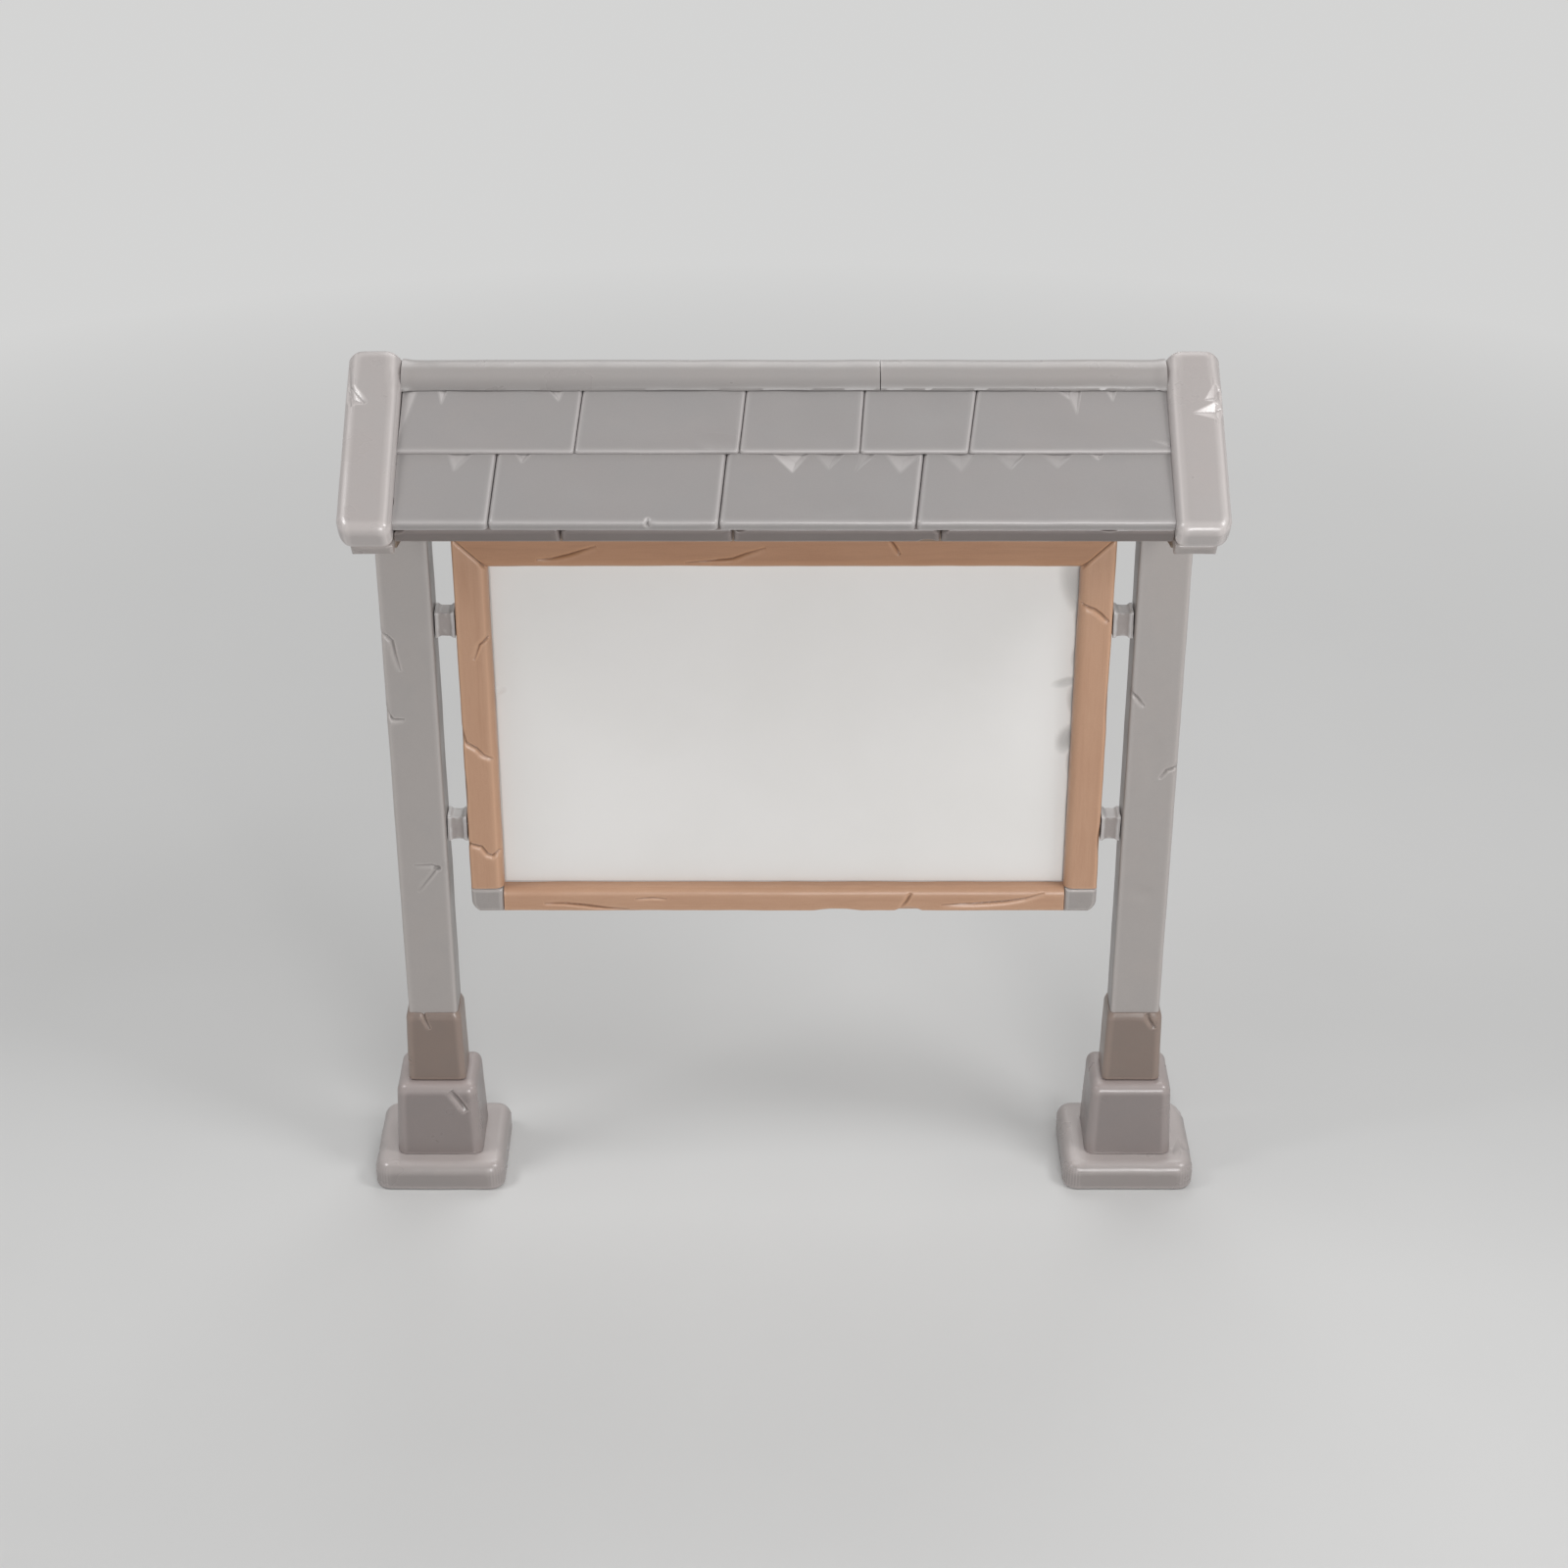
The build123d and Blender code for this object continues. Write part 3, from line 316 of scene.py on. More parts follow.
@dataclass(frozen=True)
class WoodFinish:
    """Oiled timber: long soft streaks along the grain and fine pores, paler edges from wear and painted highlight,
    painted shade in cracks.
    """

    name: str
    tone: Colour
    dark: Colour
    pale: Colour
    grain: Grain
    roughness: float = 0.35
    relief: float = 0.00012

    def material(self) -> bpy.types.Material:
        """Return the timber's material."""
        sheet = NodeSheet(self.name)
        sheet.shader.inputs["Specular IOR Level"].default_value = 0.65
        along = sheet.stretched(self.grain.value)
        streaks = sheet.noise(55.0, 4.0, 0.55, 0.6, along)
        fibres = sheet.noise(330.0, 3.0, 0.6, 0.1, along)
        patches = sheet.noise(4.0, 3.0, 0.5, 0.3)
        colour = sheet.blend(sheet.spread(patches, 0.35, 0.7, 0.0, 0.5), self.tone, self.pale)
        colour = sheet.blend(sheet.spread(streaks, 0.45, 0.8, 0.0, 0.32), colour, self.dark)
        colour = sheet.blend(sheet.spread(fibres, 0.5, 0.8, 0.0, 0.22), colour, self.dark)
        pores = sheet.noise(520.0, 2.0, 0.6)
        colour = sheet.blend(sheet.spread(pores, 0.42, 0.75, 0.0, 0.24), colour, self.dark)
        # Painted highlight: the edge value turns rounds and crack lips paler, partly as edge wear
        edge = sheet.attribute("edge")
        worn = tuple(min(1.0, value * 1.25) for value in self.pale)
        colour = sheet.blend(sheet.spread(edge, 0.05, 1.0, 0.0, 0.7), colour, worn)
        # Painted shade: the cut value darkens cracks and grooves
        cut = sheet.attribute("cut")
        deep = tuple(value * 0.3 for value in self.dark)
        colour = sheet.blend(sheet.spread(cut, 0.0, 1.0, 0.0, 0.75), colour, deep)
        roughness = sheet.spread(streaks, 0.3, 0.8, self.roughness - 0.06, self.roughness + 0.1)
        normal = sheet.relief(fibres, self.relief)
        normal = sheet.relief(streaks, self.relief * 1.6, normal)
        return sheet.finish(colour, roughness, normal)


@dataclass(frozen=True)
class MetalFinish:
    """Dull painted or bare metal, with soft wear, and edges and tops paler from wear, painted highlight and painted
    light from above.
    """

    name: str
    tone: Colour
    worn: Colour
    metallic: float
    roughness: float = 0.42
    # How pale the painted edges and tops get: edge wear, painted highlight and painted light from above
    pale: float = 2.0

    def material(self) -> bpy.types.Material:
        """Return the metal's material."""
        sheet = NodeSheet(self.name)
        sheet.shader.inputs["Metallic"].default_value = self.metallic
        patches = sheet.noise(14.0, 4.0, 0.6, 0.3)
        flecks = sheet.noise(380.0, 2.0, 0.6)
        colour = sheet.blend(sheet.spread(patches, 0.45, 0.7, 0.0, 0.5), self.tone, self.worn)
        colour = sheet.blend(
            sheet.spread(flecks, 0.5, 0.8, 0.0, 0.2), colour, tuple(value * 0.5 for value in self.tone)
        )
        # Painted light: the edge value turns tops and rounds paler, partly as edge wear
        worn_and_lit_tone = tuple(min(0.9, value * self.pale) for value in self.tone)
        colour = sheet.blend(sheet.spread(sheet.attribute("edge"), 0.05, 1.0, 0.0, 0.8), colour, worn_and_lit_tone)
        roughness = sheet.spread(patches, 0.3, 0.7, self.roughness - 0.07, self.roughness + 0.1)
        normal = sheet.relief(flecks, 0.00008)
        normal = sheet.relief(sheet.noise(45.0, 2.0, 0.5), 0.0004, normal)
        return sheet.finish(colour, roughness, normal)


@dataclass(frozen=True)
class PanelFinish:
    """Matt white board with the faintest clouding and tooth, darker with painted shade along its frame and in its
    hollows.
    """

    name: str
    tone: Colour
    shade: Colour
    roughness: float = 0.62

    def material(self) -> bpy.types.Material:
        """Return the panel's material."""
        sheet = NodeSheet(self.name)
        sheet.shader.inputs["Specular IOR Level"].default_value = 0.3
        clouds = sheet.noise(2.6, 3.0, 0.5, 0.3)
        tooth = sheet.noise(520.0, 2.0, 0.6)
        colour = sheet.blend(sheet.spread(clouds, 0.4, 0.75, 0.0, 0.6), self.tone, self.shade)
        colour = sheet.blend(sheet.spread(tooth, 0.45, 0.8, 0.0, 0.12), colour, self.shade)
        # Painted shade: the cut value darkens the panel along its frame and in its hollows
        cut = sheet.attribute("cut")
        shaded_tone = tuple(value * 0.42 for value in self.shade)
        colour = sheet.blend(sheet.spread(cut, 0.0, 1.0, 0.0, 0.85), colour, shaded_tone)
        roughness = sheet.spread(clouds, 0.3, 0.7, self.roughness - 0.05, self.roughness + 0.05)
        normal = sheet.relief(tooth, 0.00006)
        return sheet.finish(colour, roughness, normal)


CAP_STONE = StoneFinish(
    "cap_stone_pale", srgb(171, 165, 163), srgb(177, 166, 163), srgb(165, 161, 160), pale=1.8
)
ROLL_STONE = StoneFinish("roll_stone", srgb(156, 151, 149), srgb(160, 151, 147), srgb(150, 147, 146))
TILE_STONE = StoneFinish(
    "tile_stone_grey", srgb(150, 146, 145), srgb(156, 148, 146), srgb(144, 142, 142), roughness=0.38, pale=1.8
)
DECK_STONE = StoneFinish(
    "deck_stone_dark", srgb(108, 99, 96), srgb(113, 101, 97), srgb(101, 94, 92), roughness=0.36, pale=2.0
)
POST_STONE = StoneFinish(
    "post_stone_grey", srgb(163, 157, 154), srgb(167, 157, 152), srgb(154, 150, 148), roughness=0.38
)
PLINTH_STONE = StoneFinish(
    "plinth_stone_warm", srgb(133, 124, 122), srgb(138, 125, 121), srgb(126, 119, 118), pale=2.2
)
SLAB_STONE = StoneFinish(
    "slab_stone_pale", srgb(146, 139, 137), srgb(152, 141, 137), srgb(140, 136, 134), pale=1.95
)
RAFTER_STONE = StoneFinish("rafter_stone", srgb(152, 145, 142), srgb(156, 145, 141), srgb(144, 140, 138))
BOOT_FINISH = StoneFinish(
    "boot_brown_iron", srgb(125, 109, 100), srgb(131, 111, 101), srgb(116, 104, 97), roughness=0.33, pale=1.9
)
BLOCK_METAL = MetalFinish("corner_block_grey", srgb(158, 152, 149), srgb(148, 142, 139), 0.1, 0.36)
# The brackets' tops are painted much paler, as painted light from above
BRACKET_METAL = MetalFinish("bracket_grey", srgb(159, 151, 148), srgb(145, 137, 134), 0.05, 0.42, 3.2)
FIXING_STEEL = MetalFinish("fixing_zinc", srgb(150, 151, 153), srgb(125, 125, 127), 0.85, 0.35)
WOOD_TONES = (srgb(185, 144, 116), srgb(158, 114, 84), srgb(196, 157, 129))
UPRIGHT_WOOD = WoodFinish("frame_wood_upright", *WOOD_TONES, Grain.UPRIGHT)
LEVEL_WOOD = WoodFinish("frame_wood_level", *WOOD_TONES, Grain.LEVEL)
# The top rail's wood is a darker, warmer copy of the frame wood: partly painted shade of the roof over it
DARK_TONES = (srgb(171, 126, 94), srgb(139, 95, 66), srgb(182, 139, 107))
TOP_WOOD = WoodFinish("frame_wood_top", *DARK_TONES, Grain.LEVEL)
ROUGH_TONES = (srgb(132, 113, 97), srgb(98, 80, 66), srgb(148, 130, 112))
BEAM_WOOD = WoodFinish("beam_wood", *ROUGH_TONES, Grain.LEVEL, 0.62, 0.0004)
BEAD_WOOD = WoodFinish("bead_wood_upright", *ROUGH_TONES, Grain.UPRIGHT, 0.6, 0.0002)
PANEL_WHITE = PanelFinish("panel_matt_white", srgb(233, 231, 229), srgb(227, 225, 222))


Finish = StoneFinish | WoodFinish | MetalFinish | PanelFinish


class Finishes:
    """The materials, each made once from its finish."""

    def __init__(self) -> None:
        """Start with no material made."""
        self.made: dict[str, bpy.types.Material] = {}

    def get(self, finish: Finish) -> bpy.types.Material:
        """Return a finish's material, made the first time that it is asked for."""
        if finish.name not in self.made:
            self.made[finish.name] = finish.material()
        return self.made[finish.name]


FINISHES = Finishes()
SLOT_OF = {row["node"]: Slot(row["material_slot"]) for row in frame["record"]["subparts"]}


@dataclass(frozen=True)
class Face:
    """A flat face with two axes of its own, on which marks are laid out in millimetres."""

    origin: Point
    across: Point
    up: Point
    outward: Point
    reach: float = 14.0

    def laid_out(self, points: np.ndarray) -> tuple[np.ndarray, np.ndarray]:
        """Read points in the face's own axes.

        Args:
            points: The points in metres, one row each.

        Returns:
            Their places across and up the face, and how strongly a mark bites at each of them.
        """
        offset = points - np.array(self.origin)
        places = np.stack([points @ np.array(self.across), points @ np.array(self.up)], axis=1) / MM
        away = np.abs(offset @ np.array(self.outward)) / MM
        return places, np.clip((self.reach - away) / (self.reach * 0.4), 0.0, 1.0)


def front_face(y: float) -> Face:
    """Return the face at this y that looks to the front, laid out by x and z."""
    return Face((0.0, y, 0.0), (1.0, 0.0, 0.0), (0.0, 0.0, 1.0), (0.0, -1.0, 0.0))


def bench_top(depth: float) -> Face:
    """Return the top of a roof piece that lies on the bench, laid out by x and the way down the slope."""
    return Face((0.0, 0.0, -depth), (1.0, 0.0, 0.0), (0.0, -1.0, 0.0), (0.0, 0.0, 1.0))


@dataclass(frozen=True)
class Crack:
    """A crack along a line, with its own width to the left and to the right of the line."""

    line: tuple[Place, ...]
    depth: float = 3.2
    left: float = 3.0
    right: float = 5.0
    fade_in: float = 0.0
    fade_out: float = 0.5

    def nearest(self, places: np.ndarray) -> tuple[np.ndarray, np.ndarray]:
        """Find the nearest point of the line.

        Args:
            places: Places on the face in millimetres.

        Returns:
            The distance, above zero to the left of the line, and how far along the line it is.
        """
        best = np.full(len(places), 1e9)
        signed = np.full(len(places), 1e9)
        travel = np.zeros(len(places))
        ends = np.array(self.line, float)
        lengths = np.linalg.norm(np.diff(ends, axis=0), axis=1)
        done = 0.0
        for start, end, length in zip(ends, ends[1:], lengths):
            way = (end - start) / length
            offset = places - start
            along = np.clip(offset @ way, 0.0, length)
            gap = offset - along[:, None] * way
            distance = np.linalg.norm(gap, axis=1)
            side = np.sign(way[0] * gap[:, 1] - way[1] * gap[:, 0])
            nearer = distance < best
            best = np.where(nearer, distance, best)
            signed = np.where(nearer, distance * np.where(side == 0, 1, side), signed)
            travel = np.where(nearer, (done + along) / lengths.sum(), travel)
            done += length
        return signed, travel

    def distance(self, places: np.ndarray) -> np.ndarray:
        """Return how far each place is from the line, in millimetres."""
        return np.abs(self.nearest(places)[0])

    def strength(self, travel: np.ndarray) -> np.ndarray:
        """Return how strong the crack is along its length, from 0 to 1."""
        start = np.clip(travel / max(self.fade_in, 1e-6), 0.0, 1.0)
        end = np.clip((1.0 - travel) / max(self.fade_out, 1e-6), 0.0, 1.0)
        return np.sqrt(start * end)

    def sunk(self, places: np.ndarray) -> np.ndarray:
        """Return the depth of the crack at each place, in millimetres."""
        signed, travel = self.nearest(places)
        width = np.where(signed > 0, self.left, self.right)
        wall = np.clip(1.0 - np.abs(signed) / width, 0.0, 1.0)
        return self.depth * wall**1.4 * self.strength(travel)

    def lit(self, places: np.ndarray) -> np.ndarray:
        """Return how pale the painted highlight on the lip on the wider side of the crack is, from 0 to 1."""
        signed, travel = self.nearest(places)
        wide = self.left if self.left > self.right else self.right
        away = np.where((signed > 0) == (self.left > self.right), np.abs(signed) / wide, 9.0)
        pale = 0.85 * min(1.0, self.depth / 6.0)
        return pale * np.clip(1.0 - np.abs(away - 0.55) / 0.4, 0.0, 1.0) * self.strength(travel)

    def shade(self, places: np.ndarray) -> np.ndarray:
        """Return how dark the painted shade in the crack is, from 0 to 1."""
        signed, travel = self.nearest(places)
        width = 0.45 * np.where(signed > 0, self.left, self.right)
        return 0.85 * np.clip(1.0 - np.abs(signed) / width, 0.0, 1.0) * self.strength(travel)


@dataclass(frozen=True)
class Chip:
    """A flat-sided hollow: each edge has its own slope down into the face."""

    corners: tuple[Place, ...]
    slopes: tuple[float, ...]
    depth: float = 5.0
    # How pale the facets are: paler fresh stone and a painted highlight
    fresh_and_lit: float = 0.5

    def inside(self, places: np.ndarray) -> np.ndarray:
        """Return the distance of each place from every edge, above zero on the inner side."""
        corners = np.array(self.corners, float)
        following = np.roll(corners, -1, axis=0)
        turned = np.sign(np.sum(corners[:, 0] * following[:, 1] - corners[:, 1] * following[:, 0]))
        distances = []
        for start, end in zip(corners, following):
            way = (end - start) / np.linalg.norm(end - start)
            offset = places - start
            distances.append(turned * (way[0] * offset[:, 1] - way[1] * offset[:, 0]))
        return np.stack(distances)

    def distance(self, places: np.ndarray) -> np.ndarray:
        """Return how far each place is outside the chip, in millimetres."""
        return np.maximum(0.0, -self.inside(places).min(axis=0))

    def sunk(self, places: np.ndarray) -> np.ndarray:
        """Return the depth of the chip at each place, in millimetres."""
        falls = self.inside(places) * np.array(self.slopes)[:, None]
        return np.clip(falls.min(axis=0), 0.0, self.depth)

    def shade(self, places: np.ndarray) -> np.ndarray:
        """A chip gets no painted shade."""
        return np.zeros(len(places))

    def lit(self, places: np.ndarray) -> np.ndarray:
        """Return how pale the chip is, from 0 to 1: paler fresh stone and a painted highlight on its facets."""
        return self.fresh_and_lit * np.clip(self.sunk(places) / 0.8, 0.0, 1.0)


@dataclass(frozen=True)
class Scoop:
    """A shallow round hollow."""

    centre: Place
    across: float
    up: float
    depth: float
    turn: float = 0.0
    # How dark the painted shade in the hollow is
    painted_shade: float = 0.0

    def share(self, places: np.ndarray) -> np.ndarray:
        """Return how far out each place is, where 1 is the rim."""
        offset = places - np.array(self.centre)
        cosine, sine = math.cos(self.turn), math.sin(self.turn)
        along = offset[:, 0] * cosine + offset[:, 1] * sine
        aside = offset[:, 1] * cosine - offset[:, 0] * sine
        return np.hypot(along / self.across, aside / self.up)

    def distance(self, places: np.ndarray) -> np.ndarray:
        """Return how far each place is outside the rim, in millimetres."""
        return np.maximum(0.0, self.share(places) - 1.0) * min(self.across, self.up)

    def sunk(self, places: np.ndarray) -> np.ndarray:
        """Return the depth of the hollow at each place, in millimetres."""
        return self.depth * np.clip(1.0 - self.share(places) ** 2, 0.0, 1.0) ** 1.3

    def shade(self, places: np.ndarray) -> np.ndarray:
        """Return how dark the painted shade in the hollow is at each place, from 0 to 1."""
        return self.painted_shade * np.clip(1.0 - self.share(places) ** 2, 0.0, 1.0)

    def lit(self, places: np.ndarray) -> np.ndarray:
        """A hollow is no paler than the face round it."""
        return np.zeros(len(places))


Mark = Crack | Chip | Scoop


class Workpiece:
    """One mesh on the bench, shaped with the modelling tools."""

    def __init__(self, obj: bpy.types.Object) -> None:
        """Take up a mesh.

        Args:
            obj: The mesh's object.
        """
        self.obj = obj

    @classmethod
    def block(cls, name: str, low: Sequence[float], high: Sequence[float]) -> "Workpiece":
        """Add a block between two corners.

        Args:
            name: The piece's name.
            low: The lowest corner, in metres.
            high: The highest corner, in metres.

        Returns:
            The piece.
        """
        low_corner, high_corner = Vector(low), Vector(high)
        cls.leave()
        bpy.ops.mesh.primitive_cube_add(size=1.0, location=(low_corner + high_corner) / 2)
        bpy.context.object.scale = high_corner - low_corner
        return cls.taken(name)

    @classmethod
    def rod(cls, name: str, middle: Point, turn: Point, length: float, radius: float) -> "Workpiece":
        """Add a round rod.

        Args:
            name: The piece's name.
            middle: Its middle, in metres.
            turn: Its turn about X, Y and Z, from standing upright.
            length: Its length.
            radius: Its radius.

        Returns:
            The piece.
        """
        cls.leave()
        bpy.ops.mesh.primitive_cylinder_add(
            vertices=72, radius=radius, depth=length, location=middle, rotation=turn
        )
        return cls.taken(name)

    @classmethod
    def taken(cls, name: str) -> "Workpiece":
        """Name the primitive just added, settle its place in its mesh, and take it up."""
        obj = bpy.context.object
        obj.name = name
        obj.data.name = name
        bpy.ops.object.transform_apply(location=True, rotation=True, scale=True)
        piece = cls(obj)
        # cut holds painted shade; edge holds edge wear, painted highlight and painted light from above
        for attribute in ("cut", "edge"):
            obj.data.attributes.new(attribute, "FLOAT", "POINT")
        return piece

    @staticmethod
    def leave() -> None:
        """Go back to object mode with nothing selected."""
        if bpy.context.object and bpy.context.object.mode != "OBJECT":
            bpy.ops.object.mode_set(mode="OBJECT")
        bpy.ops.object.select_all(action="DESELECT")

    def hold(self) -> None:
        """Make this piece the only one selected, in object mode."""
        self.leave()
        self.obj.select_set(True)
        bpy.context.view_layer.objects.active = self.obj

    def points(self) -> np.ndarray:
        """Return the piece's points, one row each, in metres."""
        flat = np.zeros(len(self.obj.data.vertices) * 3)
        self.obj.data.vertices.foreach_get("co", flat)
        return flat.reshape(-1, 3)

    def edge_ends(self) -> np.ndarray:
        """Return the two point numbers of every edge."""
        flat = np.zeros(len(self.obj.data.edges) * 2, np.int32)
        self.obj.data.edges.foreach_get("vertices", flat)
        return flat.reshape(-1, 2)

    def normals(self) -> np.ndarray:
        """Return the direction that each point faces, one row each."""
        flat = np.zeros(len(self.obj.data.vertices) * 3)
        self.obj.data.vertices.foreach_get("normal", flat)
        return flat.reshape(-1, 3)

    def rings(self) -> np.ndarray:
        """Return the ring of every edge: the edges that lie opposite one another across four-sided faces."""
        mesh = self.obj.data
        totals = np.zeros(len(mesh.polygons), np.int32)
        starts = np.zeros(len(mesh.polygons), np.int32)
        edges = np.zeros(len(mesh.loops), np.int32)
        mesh.polygons.foreach_get("loop_total", totals)
        mesh.polygons.foreach_get("loop_start", starts)
        mesh.loops.foreach_get("edge_index", edges)
        quads = starts[totals == 4]
        first = np.concatenate([edges[quads], edges[quads + 1]])
        second = np.concatenate([edges[quads + 2], edges[quads + 3]])
        ring = np.arange(len(mesh.edges))
        while True:
            lowest = np.minimum(ring[first], ring[second])
            merged = ring.copy()
            for place in (first, second, ring[first], ring[second]):
                np.minimum.at(merged, place, lowest)
            merged = merged[merged]
            if (merged == ring).all():
                return ring
            ring = merged

    def face_frames(self) -> tuple[np.ndarray, np.ndarray, np.ndarray]:
        """Return the middle, the outward direction and the area of every face."""
        faces = self.obj.data.polygons
        middles = np.zeros(len(faces) * 3)
        normals = np.zeros(len(faces) * 3)
        areas = np.zeros(len(faces))
        faces.foreach_get("center", middles)
        faces.foreach_get("normal", normals)
        faces.foreach_get("area", areas)
        return middles.reshape(-1, 3), normals.reshape(-1, 3), areas

    def pick(self, kind: Kind, chosen: np.ndarray) -> None:
        """Select points, edges or faces, and go into edit mode.

        Args:
            kind: What is selected.
            chosen: Whether each one is.
        """
        self.hold()
        mesh = self.obj.data
        bpy.context.tool_settings.mesh_select_mode = kind.value
        parts = {Kind.POINTS: mesh.vertices, Kind.EDGES: mesh.edges, Kind.FACES: mesh.polygons}
        for other, part in parts.items():
            wanted = chosen if other is kind else np.zeros(len(part), bool)
            part.foreach_set("select", np.asarray(wanted, bool))
        bpy.ops.object.mode_set(mode="EDIT")

    def pick_edges(self, test: Callable[[np.ndarray, np.ndarray], np.ndarray]) -> None:
        """Select edges by their middles and directions.

        Args:
            test: Takes every edge's middle and its direction, and says which are selected.
        """
        points = self.points()
        ends = self.edge_ends()
        run = points[ends[:, 1]] - points[ends[:, 0]]
        direction = run / np.maximum(np.linalg.norm(run, axis=1), 1e-9)[:, None]
        self.pick(Kind.EDGES, test(points[ends].mean(axis=1), direction))

    def soften(
        self,
        width: float,
        test: Callable[[np.ndarray, np.ndarray], np.ndarray] | None = None,
        segments: int = 4,
    ) -> "Workpiece":
        """Round edges over.

        Args:
            width: The radius, in metres.
            test: Says which edges, from their middles and directions; all of them if left out.
            segments: How many faces the round has.

        Returns:
            The piece.
        """
        self.pick_edges(test or (lambda middles, directions: np.ones(len(middles), bool)))
        bpy.ops.mesh.bevel(offset=width, segments=segments, profile=0.5, affect="EDGES", clamp_overlap=True)
        self.hold()
        return self

    def lattice(self, steps: Sequence[float]) -> "Workpiece":
        """Divide the four-sided faces into a grid, ring by ring.

        Args:
            steps: The largest step along X, Y and Z, in metres.

        Returns:
            The piece.
        """
        for _ in range(16):
            points, ends, ring = self.points(), self.edge_ends(), self.rings()
            run = np.abs(points[ends[:, 1]] - points[ends[:, 0]])
            wanted = np.zeros(len(ring))
            np.maximum.at(wanted, ring, np.linalg.norm(run, axis=1) / np.array(steps)[run.argmax(axis=1)])
            cuts = np.ceil(wanted[ring] / 1.08).astype(int) - 1
            if cuts.max() < 1:
                break
            self.pick(Kind.EDGES, cuts == cuts.max())
            bpy.ops.mesh.subdivide(number_cuts=int(min(40, cuts.max())))
            self.hold()
        return self

    def rescale_top(self, middle: Sequence[float], half_width: float, half_depth: float) -> "Workpiece":
        """Make the top face this wide and deep about an upright line.

        Args:
            middle: A point of the line.
            half_width: Half its width along X.
            half_depth: Half its depth along Y.

        Returns:
            The piece.
        """
        points = self.points()
        top = points[:, 2] > points[:, 2].max() - 1e-5
        reach = np.abs(points[top] - np.array(middle)).max(axis=0)
        self.pick(Kind.POINTS, top)
        bpy.ops.transform.resize(
            value=(half_width / reach[0], half_depth / reach[1], 1.0),
            center_override=(middle[0], middle[1], float(points[:, 2].max())),
        )
        self.hold()
        return self

    def extrude_top(self, height: float) -> "Workpiece":
        """Draw the top face up by a height."""
        middles, _, _ = self.face_frames()
        self.pick(Kind.FACES, middles[:, 2] > middles[:, 2].max() - 1e-5)
        bpy.ops.mesh.extrude_region_move(TRANSFORM_OT_translate={"value": (0.0, 0.0, height)})
        self.hold()
        return self

    def move_points(self, chosen: np.ndarray, way: Point) -> "Workpiece":
        """Move some points by the same step.

        Args:
            chosen: Which points.
            way: The step, in metres.

        Returns:
            The piece.
        """
        self.pick(Kind.POINTS, chosen)
        bpy.ops.transform.translate(value=way)
        self.hold()
        return self

    def placed(self, turn: float, lift: float, mirrored: bool = False) -> "Workpiece":
        """Turn the piece about the X axis and lift it, with its place kept in its mesh.

        Args:
            turn: The turn, in radians.
            lift: The lift, in metres.
            mirrored: Whether it then goes to the back, as a mirror image.

        Returns:
            The piece.
        """
        self.hold()
        self.obj.rotation_euler = (turn, 0.0, 0.0)
        self.obj.location = (0.0, 0.0, lift)
        bpy.ops.object.transform_apply(location=True, rotation=True, scale=True)
        if mirrored:
            self.obj.scale = (1.0, -1.0, 1.0)
            bpy.ops.object.transform_apply(location=True, rotation=True, scale=True)
        return self

    def slice_off(self, place: Point, outward: Point) -> "Workpiece":
        """Cut away what lies beyond a plane, and close the cut.

        Args:
            place: A point of the plane.
            outward: The direction that is cut away.

        Returns:
            The piece.
        """
        self.pick(Kind.FACES, np.ones(len(self.obj.data.polygons), bool))
        bpy.ops.mesh.bisect(plane_co=place, plane_no=outward, use_fill=True, clear_outer=True)
        self.hold()
        return self

    def apply(self, kind: str, **settings: object) -> "Workpiece":
        """Add a modifier, set it and apply it.

        Args:
            kind: The modifier's type.
            **settings: Its settings.

        Returns:
            The piece.
        """
        self.hold()
        bpy.ops.object.modifier_add(type=kind)
        modifier = self.obj.modifiers[-1]
        for setting, value in settings.items():
            setattr(modifier, setting, value)
        bpy.ops.object.modifier_apply(modifier=modifier.name)
        return self

    def cut_with(self, cutter: "Workpiece") -> "Workpiece":
        """Take another piece's shape out of this one, and throw the other one away."""
        self.apply("BOOLEAN", operation="DIFFERENCE", solver="EXACT", object=cutter.obj)
        bpy.data.objects.remove(cutter.obj)
        return self

    def shift(self, amounts: np.ndarray, direction: str = "NORMAL") -> "Workpiece":
        """Move points, each by its own amount.

        Args:
            amounts: How far each point moves, in metres; below zero is inwards, or down the axis.
            direction: Along the points' normals, or along an axis.

        Returns:
            The piece.
        """
        for way in (-1.0, 1.0):
            moved = np.clip(way * amounts, 0.0, None)
            furthest = float(moved.max())
            if furthest < 1e-5:
                continue
            group = self.obj.vertex_groups.new(name="press")
            steps = np.rint(moved / furthest * WEIGHT_STEPS).astype(int)
            order = np.argsort(steps, kind="stable")
            bounds = np.searchsorted(steps[order], np.arange(1, WEIGHT_STEPS + 2))
            for step, (start, end) in enumerate(zip(bounds, bounds[1:]), start=1):
                if end > start:
                    group.add(order[start:end].tolist(), step / WEIGHT_STEPS, "REPLACE")
            strength = way * furthest
            self.apply("DISPLACE", strength=strength, mid_level=0.0, direction=direction, vertex_group="press")
            self.obj.vertex_groups.clear()
        return self

